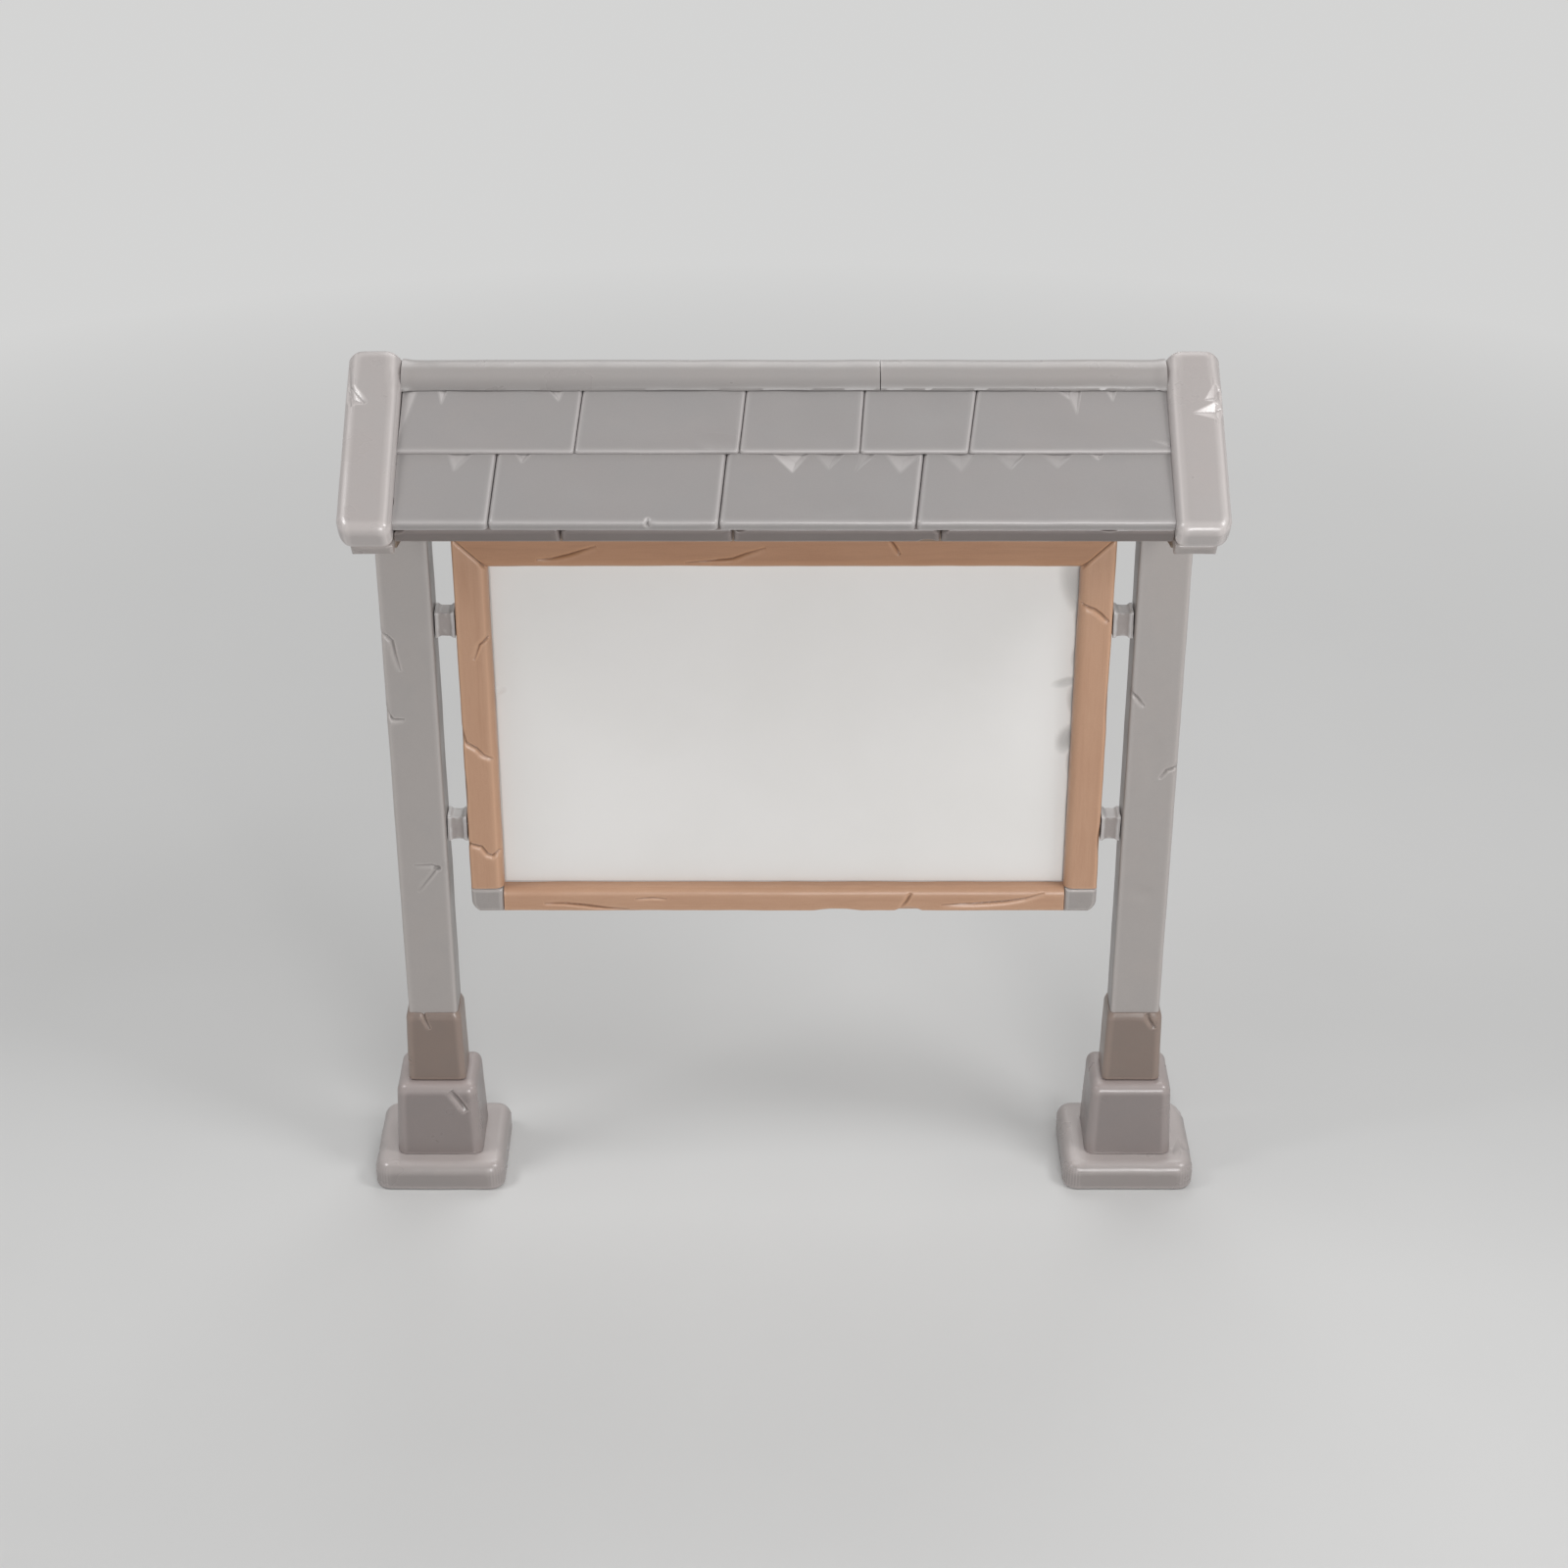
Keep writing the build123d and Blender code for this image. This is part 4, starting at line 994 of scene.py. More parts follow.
    def worn(self, tightest: float = 0.009) -> "Workpiece":
        """Paint the rounded edges pale, as edge wear and painted highlight, and the creases dark, as painted shade.

        Args:
            tightest: The radius of round at which an edge is painted palest.

        Returns:
            The piece.
        """
        points, ends = self.points(), self.edge_ends()
        count, normals = len(points), self.normals()
        first, second = ends[:, 0], ends[:, 1]
        run = points[second] - points[first]
        square = np.maximum((run**2).sum(axis=1), 1e-8)
        number = np.maximum(np.bincount(ends.ravel(), minlength=count), 1)
        bends = np.bincount(first, -2.0 * (normals[first] * run).sum(axis=1) / square, count)
        bends += np.bincount(second, 2.0 * (normals[second] * run).sum(axis=1) / square, count)
        bend = bends / number * 2.0 * tightest
        # Convex rounds get edge wear and painted highlight; concave creases get painted shade
        crease = np.clip(-0.35 * bend - 0.16, 0.0, 0.5)
        for name, share in (("edge", np.clip(0.6 * bend, 0.0, 0.6)), ("cut", crease)):
            spread = np.bincount(first, share[second], count) + np.bincount(second, share[first], count)
            self.paint(name, 0.5 * share + 0.5 * spread / number)
        return self

    def carve(self, face: Face, marks: Sequence[Mark]) -> "Workpiece":
        """Cut marks into a face, on a mesh made finer round them.

        Args:
            face: The face that they are laid out on.
            marks: The cracks, chips and hollows.

        Returns:
            The piece.
        """
        if not marks:
            return self
        narrow = [mark for mark in marks if not isinstance(mark, Scoop) or min(mark.across, mark.up) < 25.0]
        for spread, finest in ((12.0, 4.0), (7.0, 2.2), (3.5, 1.4)):
            if finest < 2.0:
                narrow = [mark for mark in marks if isinstance(mark, Crack) and mark.depth > 1.0]
            if not narrow:
                break
            middles, _, areas = self.face_frames()
            places, bite = face.laid_out(middles)
            near = np.min([mark.distance(places) for mark in narrow], axis=0) < spread
            chosen = near & (bite > 0.0) & (areas > (finest * MM) ** 2)
            if chosen.any():
                self.pick(Kind.FACES, chosen)
                bpy.ops.mesh.subdivide(number_cuts=1)
                self.hold()
        places, bite = face.laid_out(self.points())
        depths = np.max([mark.sunk(places) for mark in marks], axis=0) * bite
        # Painted shade in cracks and hollows; painted highlight on crack lips and chip facets
        self.paint("cut", np.max([mark.shade(places) for mark in marks], axis=0) * bite)
        self.paint("edge", np.max([mark.lit(places) for mark in marks], axis=0) * bite)
        close = np.min([mark.distance(places) for mark in marks], axis=0) < 8.0
        self.shift(-depths * MM)
        group = self.obj.vertex_groups.new(name="eased")
        group.add(np.flatnonzero(close & (bite > 0.0)).tolist(), 1.0, "REPLACE")
        self.apply("SMOOTH", factor=0.5, iterations=2, vertex_group="eased")
        self.obj.vertex_groups.clear()
        return self

    def paint_top_light(self, share: float, least: float = 0.45) -> "Workpiece":
        """Paint what faces up paler, as painted light from above.

        Args:
            share: How pale a level face becomes.
            least: How far up a face looks, as its normal's height, where the paleness starts.

        Returns:
            The piece.
        """
        self.paint("edge", share * np.clip((self.normals()[:, 2] - least) / (1.0 - least), 0.0, 1.0))
        return self

    def paint_side_highlight(self, share: float, *ways: Point, lean: float = 0.5, spread: float = 0.25) -> "Workpiece":
        """Paint a narrow highlight line along the rounds that lean to one side.

        Args:
            share: How pale the line is.
            *ways: The directions that they lean to.
            lean: How far the round leans where the line is palest.
            spread: How much more or less it leans where the line ends.

        Returns:
            The piece.
        """
        normals = self.normals()
        near = np.max([1.0 - np.abs(normals @ np.array(way) - lean) / spread for way in ways], axis=0)
        self.paint("edge", share * np.clip(near, 0.0, 1.0))
        return self

    def paint(self, attribute: str, values: np.ndarray) -> None:
        """Raise a value that the mesh carries, where the new one is higher.

        Args:
            attribute: The value's name.
            values: The new value at each point.
        """
        data = self.obj.data.attributes[attribute].data
        old = np.zeros(len(data), np.float32)
        data.foreach_get("value", old)
        data.foreach_set("value", np.maximum(old, values).astype(np.float32))

    def ripple(self, depth: float, size: float, direction: str = "NORMAL") -> "Workpiece":
        """Give the piece the soft unevenness of hand-worked stuff, without making it larger.

        Args:
            depth: The deepest hollow, in metres.
            size: How broad the hollows are, in metres.
            direction: Along the points' normals, or along an axis, which leaves the joints shut.

        Returns:
            The piece.
        """
        texture = bpy.data.textures.new(self.obj.name, "CLOUDS")
        texture.noise_scale = size
        texture.noise_depth = 1
        texture.contrast = RIPPLE_CONTRAST
        self.apply(
            "DISPLACE",
            strength=depth / RIPPLE_CONTRAST,
            mid_level=0.5 + 0.5 * RIPPLE_CONTRAST,
            direction=direction,
            texture=texture,
            texture_coords="LOCAL",
        )
        bpy.data.textures.remove(texture)
        return self

    def closed(self, finish: "Finish", *nodes: str) -> "Workpiece":
        """Finish the piece: outward faces, soft shading, its material, and what it stands for.

        Args:
            finish: What it is finished with.
            *nodes: The part's nodes that it stands for.

        Returns:
            The piece.
        """
        self.pick(Kind.FACES, np.ones(len(self.obj.data.polygons), bool))
        bpy.ops.mesh.normals_make_consistent(inside=False)
        self.hold()
        bpy.ops.object.shade_smooth_by_angle(angle=math.radians(50.0))
        self.obj.data.materials.clear()
        self.obj.data.materials.append(FINISHES.get(finish))
        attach(self.obj, ROOT_BODY)
        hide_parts(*nodes)
        log.info("%s: %d faces", self.obj.name, len(self.obj.data.polygons))
        return self


@dataclass
class Feet:
    """The slab, the plinth block and the boot under each post."""

    slab_corner: float = 0.040
    slab_round: float = 0.028
    slab_foot_round: float = 0.009
    plinth_round: float = 0.023
    plinth_flare: float = 0.008
    boot_round: float = 0.016
    lip_round: float = 0.006
    bevel_height: float = 0.014
    shoulder_wall: float = 0.007
    lip_wall: float = 0.002
    ripple: float = 0.0016

    def build(self) -> None:
        """Build both feet."""
        for name, side in SIDES.items():
            self.slab(name)
            self.plinth(name)
            self.boot(name)

    def slab(self, name: str) -> None:
        """Build one ground slab, with its recess and anchor holes below."""
        node = f"foot_slab_{name}"
        low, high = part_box(node)
        piece = Workpiece.block(f"stone_slab_{name}", low, high)
        piece.soften(self.slab_corner, lambda middles, way: np.abs(way[:, 2]) > 0.9, 8)
        piece.soften(self.slab_round, lambda middles, way: middles[:, 2] > high.z - 0.001, 8)
        piece.soften(self.slab_foot_round, lambda middles, way: middles[:, 2] < low.z + 0.001, 3)
        piece.lattice((0.006, 0.006, 0.006))
        piece.ripple(self.ripple * 1.5, 0.09)
        self.chip_slab(piece, name, low, high)
        # Edge wear with painted highlight, painted shade in creases, and painted light on the top
        piece.worn(0.016)
        piece.paint_top_light(1.0)
        middle = (low + high) / 2
        recess = Workpiece.rod("cutter", (middle.x, middle.y, low.z), (0, 0, 0), 0.064, 0.032)
        piece.cut_with(recess)
        for place in (-0.11, 0.11):
            hole = Workpiece.rod("cutter", (middle.x, middle.y + place, low.z), (0, 0, 0), 0.104, 0.010)
            piece.cut_with(hole)
        piece.closed(SLAB_STONE, node)

    def chip_slab(self, piece: Workpiece, name: str, low: Vector, high: Vector) -> None:
        """Knock the corners of a slab about.

        Args:
            piece: The slab.
            name: Its side.
            low: Its lowest corner.
            high: Its highest corner.
        """
        top = Face((0.0, 0.0, high.z), (1.0, 0.0, 0.0), (0.0, 1.0, 0.0), (0.0, 0.0, 1.0), 60.0)
        left, right = low.x / MM, high.x / MM
        near, far = low.y / MM, high.y / MM
        marks = {
            "left": [
                Chip(((left - 4, far + 4), (left - 4, far - 26), (left + 30, far + 4)), (0.5, 0.3, 0.5), 8.0),
                Scoop((left + 14, near + 96), 16, 24, 3.0, 0.2),
            ],
            "right": [
                Chip(((right + 6, far + 6), (right - 42, far + 6), (right - 16, far - 66), (right + 6, far - 58)),
                     (0.5, 0.3, 0.3, 0.5), 8.0, 1.0),
                Scoop((right - 18, near + 92), 16, 22, 4.0, 0.3),
                Scoop((right - 40, near + 66), 18, 16, 3.0, 0.2),
                Chip(((left - 4, far + 4), (left - 4, far - 26), (left + 30, far + 4)), (0.5, 0.3, 0.5), 8.0),
                Scoop((left + 36, near + 22), 20, 12, 2.5, -0.2),
            ],
        }
        piece.carve(top, marks[name])

    def plinth(self, name: str) -> None:
        """Build one plinth block."""
        node = f"plinth_block_{name}"
        low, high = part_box(node)
        piece = Workpiece.block(f"stone_plinth_{name}", low, high)
        piece.soften(self.plinth_round, lambda middles, way: middles[:, 2] > low.z + 0.001, 8)
        piece.lattice((0.005, 0.005, 0.005))
        middle, half, points = (low + high) / 2, (high - low) / 2, piece.points()
        down = np.clip((high.z - points[:, 2]) / (high.z - low.z), 0.0, 1.0)
        piece.shift(self.plinth_flare * down * (points[:, 0] - middle.x) / half.x, "X")
        piece.shift(self.plinth_flare * down * (points[:, 1] - middle.y) / half.y, "Y")
        piece.ripple(self.ripple, 0.08)
        marks = {"left": [Crack(((-832, 264), (-812, 234), (-794, 204)), 10.0, 9.0, 15.0, 0.3, 0.3)]}
        piece.carve(front_face(low.y - 0.003), marks.get(name, []))
        # Edge wear with painted highlight and painted shade in creases, a painted highlight on the right rounds, and
        # painted light on top
        piece.worn(0.014)
        piece.paint_side_highlight(0.5, RIGHT)
        piece.paint_top_light(0.9, 0.15)
        piece.closed(PLINTH_STONE, node)

    def boot(self, name: str) -> None:
        """Build one boot: flared walls and a bevelled lip."""
        node = f"post_boot_{name}"
        low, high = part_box(node)
        post_low, post_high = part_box(f"post_{name}")
        middle = (low + high) / 2
        shoulder = high.z - self.bevel_height
        piece = Workpiece.block(f"iron_boot_{name}", low, (high.x, high.y, shoulder))
        half = (post_high - post_low) / 2
        piece.rescale_top(middle, half.x + self.shoulder_wall, half.y + self.shoulder_wall)
        piece.extrude_top(self.bevel_height)
        piece.rescale_top(middle, half.x + self.lip_wall, half.y + self.lip_wall)
        piece.soften(
            self.boot_round, lambda middles, way: np.abs(way[:, 2]) > 0.6, 5
        )
        piece.soften(
            self.lip_round,
            lambda middles, way: (np.abs(middles[:, 2] - shoulder) < 0.001) & (np.abs(way[:, 2]) < 0.1),
            4,
        )
        piece.soften(
            self.lip_round, lambda middles, way: (middles[:, 2] < low.z + 0.001) & (np.abs(way[:, 2]) < 0.1), 4
        )
        piece.lattice((0.005, 0.005, 0.005))
        piece.ripple(0.0018, 0.07)
        marks = {
            "left": [
                Crack(((-892, 480), (-886, 453), (-877, 430)), 5.5, 5.0, 9.0, 0.0, 0.5),
                Crack(((-945, 337), (-928, 334)), 5.0, 5.0, 5.0, 0.0, 0.6),
            ],
            "right": [Crack(((899, 474), (907, 452), (919, 432)), 7.0, 8.0, 12.0, 0.3, 0.4)],
        }
        piece.carve(front_face(low.y + 0.003), marks[name])
        # Edge wear with painted highlight, painted shade in creases, and a painted highlight on the right rounds
        piece.worn(0.012)
        piece.paint_side_highlight(0.5, RIGHT)
        piece.closed(BOOT_FINISH, node)


@dataclass
class Posts:
    """The two stone posts, with their cracks and the recesses for the bolts."""

    edge_round: float = 0.011
    ripple: float = 0.0022
    recess_radius: float = 0.017
    recess_depth: float = 0.022
    slot_gap: float = 0.0003
    # How dark the painted shade on the side that faces the board is
    inner_painted_shade: float = 0.62

    def marks(self) -> dict[str, list[Mark]]:
        """Return the cracks of each post, on its front face."""
        return {
            "left": [
                Crack(((-936, 1530), (-915, 1521), (-902, 1506), (-897, 1471), (-888, 1428)), 6.5, 5.0, 10.0),
                Crack(((-936, 1338), (-914, 1300), (-886, 1301)), 6.5, 5.0, 9.0),
                Crack(((-890, 901), (-846, 902), (-831, 896)), 3.0, 5.0, 11.0, 0.8, 0.0),
                Crack(((-831, 896), (-848, 872), (-882, 826)), 3.6, 7.0, 9.0, 0.0, 0.8),
                # The last number of this hollow is how dark its painted shade is
                Scoop((-834, 892), 11, 9, 8.0, 0.3, 0.8),
            ],
            "right": [
                Crack(((799, 1378), (822, 1360), (840, 1334)), 7.0, 6.0, 9.0, 0.0, 0.5),
                Crack(((886, 1139), (903, 1163), (921, 1170), (936, 1171)), 6.5, 8.0, 6.0, 0.4, 0.0),
                Scoop((872, 1180), 28, 90, 1.6),
                Scoop((868, 820), 30, 26, 2.0),
            ],
        }

    def build(self) -> None:
        """Build both posts."""
        for name in SIDES:
            self.post(name)

    def post(self, name: str) -> None:
        """Build one post."""
        low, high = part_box(f"post_{name}")
        plate_low, plate_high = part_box(f"gable_plate_{name}")
        piece = Workpiece.block(f"stone_post_{name}", low, high)
        piece.soften(self.edge_round, lambda middles, way: np.abs(way[:, 2]) > 0.95, 5)
        piece.lattice((0.007, 0.007, 0.007))
        piece.ripple(self.ripple, 0.16)
        piece.carve(front_face(low.y), self.marks()[name])
        # Edge wear with painted highlight and painted shade in creases, painted highlights on the side rounds, and
        # painted shade on the side facing the board
        piece.worn()
        piece.paint_side_highlight(0.35, LEFT, RIGHT)
        toward_board = -SIDES[name] * piece.normals()[:, 0]
        piece.paint("cut", self.inner_painted_shade * np.clip((toward_board - 0.6) / 0.3, 0.0, 1.0))
        for side in (-1, 1):
            outward = (0.0, side * math.sin(PITCH), math.cos(PITCH))
            piece.slice_off((0.0, 0.0, high.z), outward)
        gap = Vector((self.slot_gap, 0.06, self.slot_gap))
        top = Vector((plate_high.x, plate_high.y, high.z + 0.05))
        slot_low = Vector((plate_low.x, low.y, plate_low.z))
        slot_high = Vector((top.x, high.y, top.z))
        root = post_slot_floor()
        slot_low.z = root
        piece.cut_with(Workpiece.block("cutter", slot_low - gap, slot_high + gap))
        for bracket in ("lower", "upper"):
            bracket_low, bracket_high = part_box(f"bracket_{bracket}_{name}")
            height = (bracket_low.z + bracket_high.z) / 2
            outer = high.x if name == "right" else low.x
            middle = (outer, 0.0, height)
            turn = (0.0, math.radians(90.0), 0.0)
            piece.cut_with(
                Workpiece.rod("cutter", middle, turn, 2 * self.recess_depth, self.recess_radius)
            )
        piece.closed(POST_STONE, f"post_{name}")


def post_slot_floor() -> float:
    """Return the height of the foot of the gable plates, where the slots in the posts end."""
    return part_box("gable_plate_left")[0].z


@dataclass
class BoardFrame:
    """The timber frame: two stiles and two rails, mitred above, and the corner blocks below."""

    inner_round: float = 0.023
    outer_round: float = 0.009
    back_round: float = 0.004
    corner_round: float = 0.031
    rebate: float = 0.014
    ripple: float = 0.0022
    joint: float = 0.0003

    def build(self) -> None:
        """Build the frame's members and its corner blocks."""
        self.rail("top", self.top_marks())
        self.rail("bottom", self.bottom_marks())
        for name in SIDES:
            self.stile(name)
            self.corner_block(name)

    def top_marks(self) -> list[Mark]:
        """Return the cracks of the top rail."""
        return [
            Crack(((-564, 1707), (-529, 1710), (-489, 1720), (-426, 1742)), 6.5, 5.0, 10.0, 0.4, 0.4),
            Crack(((-226, 1699), (-177, 1703), (-117, 1710), (-88, 1722), (-40, 1738)), 6.5, 5.0, 10.0, 0.4, 0.4),
            Crack(((242, 1756), (252, 1742), (264, 1720)), 6.0, 6.0, 8.0, 0.2, 0.4),
        ]

    def bottom_marks(self) -> list[Mark]:
        """Return the cracks of the bottom rail."""
        return [
            Crack(((-582, 783), (-534, 783), (-486, 778), (-427, 769), (-374, 765)), 7.5, 9.0, 5.0, 0.4, 0.4),
            Crack(((-361, 797), (-319, 800), (-283, 797)), 4.0, 4.0, 6.0, 0.5, 0.5),
            Crack(((380, 780), (462, 783), (500, 786), (533, 789), (583, 797), (631, 813)), 7.5, 5.0, 11.0, 0.5, 0.4),
            Crack(((309, 812), (298, 789), (284, 770)), 7.0, 6.0, 10.0, 0.3, 0.4),
            Scoop((302, 762), 34, 14, 9.0),
            Scoop((130, 762), 60, 10, 4.5),
        ]

    def stile_marks(self) -> dict[str, list[Mark]]:
        """Return the cracks of each stile."""
        return {
            "left": [
                Crack(((-664, 1523), (-682, 1505), (-703, 1489), (-717, 1450)), 5.5, 5.0, 10.0, 0.0, 0.5),
                Crack(((-762, 1276), (-748, 1230), (-723, 1214), (-708, 1196), (-684, 1185)), 7.0, 6.0, 12.0, 0.0, 0.3),
                Crack(((-762, 955), (-725, 945), (-712, 925), (-701, 920), (-684, 931), (-660, 937)), 7.5, 5.0, 12.0, 0.0, 0.1),
                Scoop((-757, 1100), 7, 60, 3.0),
            ],
            "right": [
                Crack(((674, 1597), (714, 1581), (730, 1568), (748, 1549)), 7.5, 5.0, 13.0, 0.0, 0.2),
                Scoop((757, 960), 8, 46, 4.0),
                Scoop((757, 1330), 7, 70, 2.5),
            ],
        }

    def mitre_groove(self, side: int) -> Crack:
        """Return the groove along the mitre at one upper corner, with a painted highlight on its lip on the stile's
        side.

        Args:
            side: Which corner.

        Returns:
            The groove, from beyond the outer corner to beyond the inner one.
        """
        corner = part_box("frame_stile_right")[1]
        outer, top = side * corner.x / MM, corner.z / MM
        line = ((outer + side * 10, top + 10), (outer - side * 110, top - 110))
        wide, narrow = 7.5, 4.5
        left, right = (narrow, wide) if side < 0 else (wide, narrow)
        return Crack(line, 4.5, left, right, 0.0, 0.0)

    def rounds(self, piece: Workpiece, low: Vector, high: Vector, inner: Callable, outer: Callable) -> None:
        """Round a member's long edges over.

        Args:
            piece: The member.
            low: Its lowest corner.
            high: Its highest corner.
            inner: Says which edge middles lie at its inner side.
            outer: Says which edge middles lie at its outer side.
        """
        front = low.y + 0.001
        back = high.y - 0.001
        piece.soften(self.inner_round, lambda at, way: inner(at) & (at[:, 1] < front), 7)
        piece.soften(self.outer_round, lambda at, way: outer(at) & (at[:, 1] < front), 5)
        piece.soften(self.back_round, lambda at, way: outer(at) & (at[:, 1] > back), 3)

    def stile(self, name: str) -> None:
        """Build one stile, mitred at its head and rebated at the back for the panel."""
        side = SIDES[name]
        low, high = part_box(f"frame_stile_{name}")
        block_low, block_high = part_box(f"corner_block_{name}")
        low = Vector((low.x, low.y, block_high.z + self.joint))
        panel_low, panel_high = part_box("display_panel")
        piece = Workpiece.block(f"timber_stile_{name}", low, high)
        inner_x = high.x if side < 0 else low.x
        outer_x = low.x if side < 0 else high.x
        self.rounds(
            piece,
            low,
            high,
            lambda at: np.abs(at[:, 0] - inner_x) < 0.001,
            lambda at: np.abs(at[:, 0] - outer_x) < 0.001,
        )
        piece.lattice((0.006, 0.006, 0.006))
        piece.ripple(self.ripple, 0.14)
        piece.carve(front_face(low.y), [*self.stile_marks()[name], self.mitre_groove(side)])
        # Edge wear with painted highlight and painted shade in creases, and a painted highlight on the right-facing
        # rounds
        piece.worn()
        piece.paint_side_highlight(0.8, RIGHT, lean=0.45, spread=0.4)
        way = (-side * math.sqrt(0.5), 0.0, math.sqrt(0.5))
        piece.slice_off((outer_x, 0.0, high.z - self.joint), way)
        cutter_low = Vector((min(inner_x, inner_x + side * self.rebate), panel_low.y, 0.5))
        cutter_high = Vector((max(inner_x, inner_x + side * self.rebate), high.y + 0.01, 2.0))
        cutter_low.x -= 0.01 if side > 0 else self.joint
        cutter_high.x += 0.01 if side < 0 else self.joint
        piece.cut_with(Workpiece.block("cutter", cutter_low, cutter_high))
        piece.closed(UPRIGHT_WOOD, f"frame_stile_{name}")

    def rail(self, name: str, marks: list[Mark]) -> None:
        """Build the top rail, mitred at both ends, or the bottom rail between the blocks.

        Args:
            name: Top or bottom.
            marks: Its cracks.
        """
        node = f"frame_{name}_rail"
        low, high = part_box(node)
        panel_low, panel_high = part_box("display_panel")
        upper = name == "top"
        if not upper:
            low.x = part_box("corner_block_left")[1].x + self.joint
            high.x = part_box("corner_block_right")[0].x - self.joint
        piece = Workpiece.block(f"timber_rail_{name}", low, high)
        inner_z, outer_z = (low.z, high.z) if upper else (high.z, low.z)
        self.rounds(
            piece,
            low,
            high,
            lambda at: np.abs(at[:, 2] - inner_z) < 0.001,
            lambda at: np.abs(at[:, 2] - outer_z) < 0.001,
        )
        piece.lattice((0.006, 0.006, 0.006))
        piece.ripple(self.ripple, 0.14)
        ends = {side: low.x if side < 0 else high.x for side in (-1, 1)} if upper else {}
        grooves = [self.mitre_groove(side) for side in ends]
        piece.carve(front_face(low.y), [*marks, *grooves])
        # Edge wear with painted highlight, and painted shade in creases
        piece.worn()
        for side, end in ends.items():
            piece.slice_off((end, 0.0, high.z + self.joint), (side * math.sqrt(0.5), 0.0, -math.sqrt(0.5)))
        rebate_low, rebate_high = (inner_z - 0.01, inner_z + self.rebate + self.joint)
        if not upper:
            rebate_low, rebate_high = (inner_z - self.rebate - self.joint, inner_z + 0.01)
        cutter = Workpiece.block(
            "cutter", (low.x - 0.01, panel_low.y, rebate_low), (high.x + 0.01, high.y + 0.01, rebate_high)
        )
        piece.cut_with(cutter)
        piece.closed(TOP_WOOD if upper else LEVEL_WOOD, node)

    def corner_block(self, name: str) -> None:
        """Build one corner block."""
        node = f"corner_block_{name}"
        side = SIDES[name]
        low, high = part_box(node)
        outer_x = low.x if side < 0 else high.x
        piece = Workpiece.block(f"grey_corner_{name}", low, high)
        piece.soften(0.009, lambda at, way: at[:, 1] < low.y + 0.001, 4)
        piece.lattice((0.004, 0.005, 0.003))
        points = piece.points()
        outward = np.clip(1.0 - np.abs(points[:, 0] - outer_x) / 0.06, 0.0, 1.0)
        fall = np.clip(1.0 - (points[:, 2] - low.z) / self.corner_round, 0.0, 1.0)
        inset = self.corner_round * (1.0 - np.sqrt(1.0 - 0.98 * fall**2))
        piece.shift(-side * outward * inset, "X")
        piece.ripple(0.0012, 0.05)
        # Edge wear with painted highlight, and painted shade in creases
        piece.worn()
        panel_low, panel_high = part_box("display_panel")
        inner_x = panel_low.x if side < 0 else panel_high.x
        cutter_low = Vector((min(inner_x, -side * 0.4), panel_low.y - self.joint, panel_low.z - self.joint))
        cutter_high = Vector((max(inner_x, -side * 0.4), high.y + 0.01, high.z + 0.01))
        cutter_low.x -= self.joint
        cutter_high.x += self.joint
        piece.cut_with(Workpiece.block("cutter", cutter_low, cutter_high))
        piece.closed(BLOCK_METAL, node)


@dataclass
class Board:
    """The white panel, a little uneven where it meets the right stile."""

    step: float = 0.009

    def marks(self) -> list[Mark]:
        """Return the hollows of the panel's face."""
        return [
            # The sixth number of a hollow is how dark its painted shade is
            Scoop((676, 1622), 42, 92, 6.0, 0.30, 0.75),
            Scoop((694, 1540), 26, 70, 5.0, 0.1, 0.6),
            Scoop((688, 1452), 18, 44, 4.0, -0.3, 0.5),
            Scoop((662, 1374), 42, 14, 4.5, 0.25, 0.5),
            Scoop((686, 1320), 24, 50, 4.0, 0.2, 0.6),
            Scoop((672, 1222), 30, 46, 5.5, -0.45, 0.75),
            Scoop((690, 1150), 22, 60, 4.5, 0.1, 0.6),
            Scoop((686, 1040), 15, 70, 3.0, 0.0, 0.4),
            Scoop((688, 930), 14, 50, 3.0, 0.0, 0.4),
            Scoop((-668, 1350), 20, 10, 3.0, 0.3, 0.05),
            Scoop((-684, 1325), 10, 34, 3.0, 0.0, 0.1),
            Scoop((0, 1250), 520, 330, 1.2, 0.0),
            *self.rim(),
        ]

    def rim(self) -> list[Crack]:
        """Return the faint line of painted shade along each side of the panel, where its frame meets it."""
        low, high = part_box("frame_stile_left")[1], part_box("frame_stile_right")[0]
        foot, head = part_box("frame_bottom_rail")[1].z / MM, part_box("frame_top_rail")[0].z / MM
        corners = ((low.x / MM, foot), (high.x / MM, foot), (high.x / MM, head), (low.x / MM, head))
        sides = zip(corners, corners[1:] + corners[:1])
        return [Crack(side, 0.6, 6.0, 6.0, 0.0, 0.0) for side in sides]

    def build(self) -> None:
        """Build the panel."""
        low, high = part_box("display_panel")
        piece = Workpiece.block("panel_sheet", low, high)
        piece.soften(0.0015, None, 2)
        piece.lattice((self.step, 0.01, self.step))
        piece.carve(front_face(low.y), self.marks())
        piece.closed(PANEL_WHITE, "display_panel")


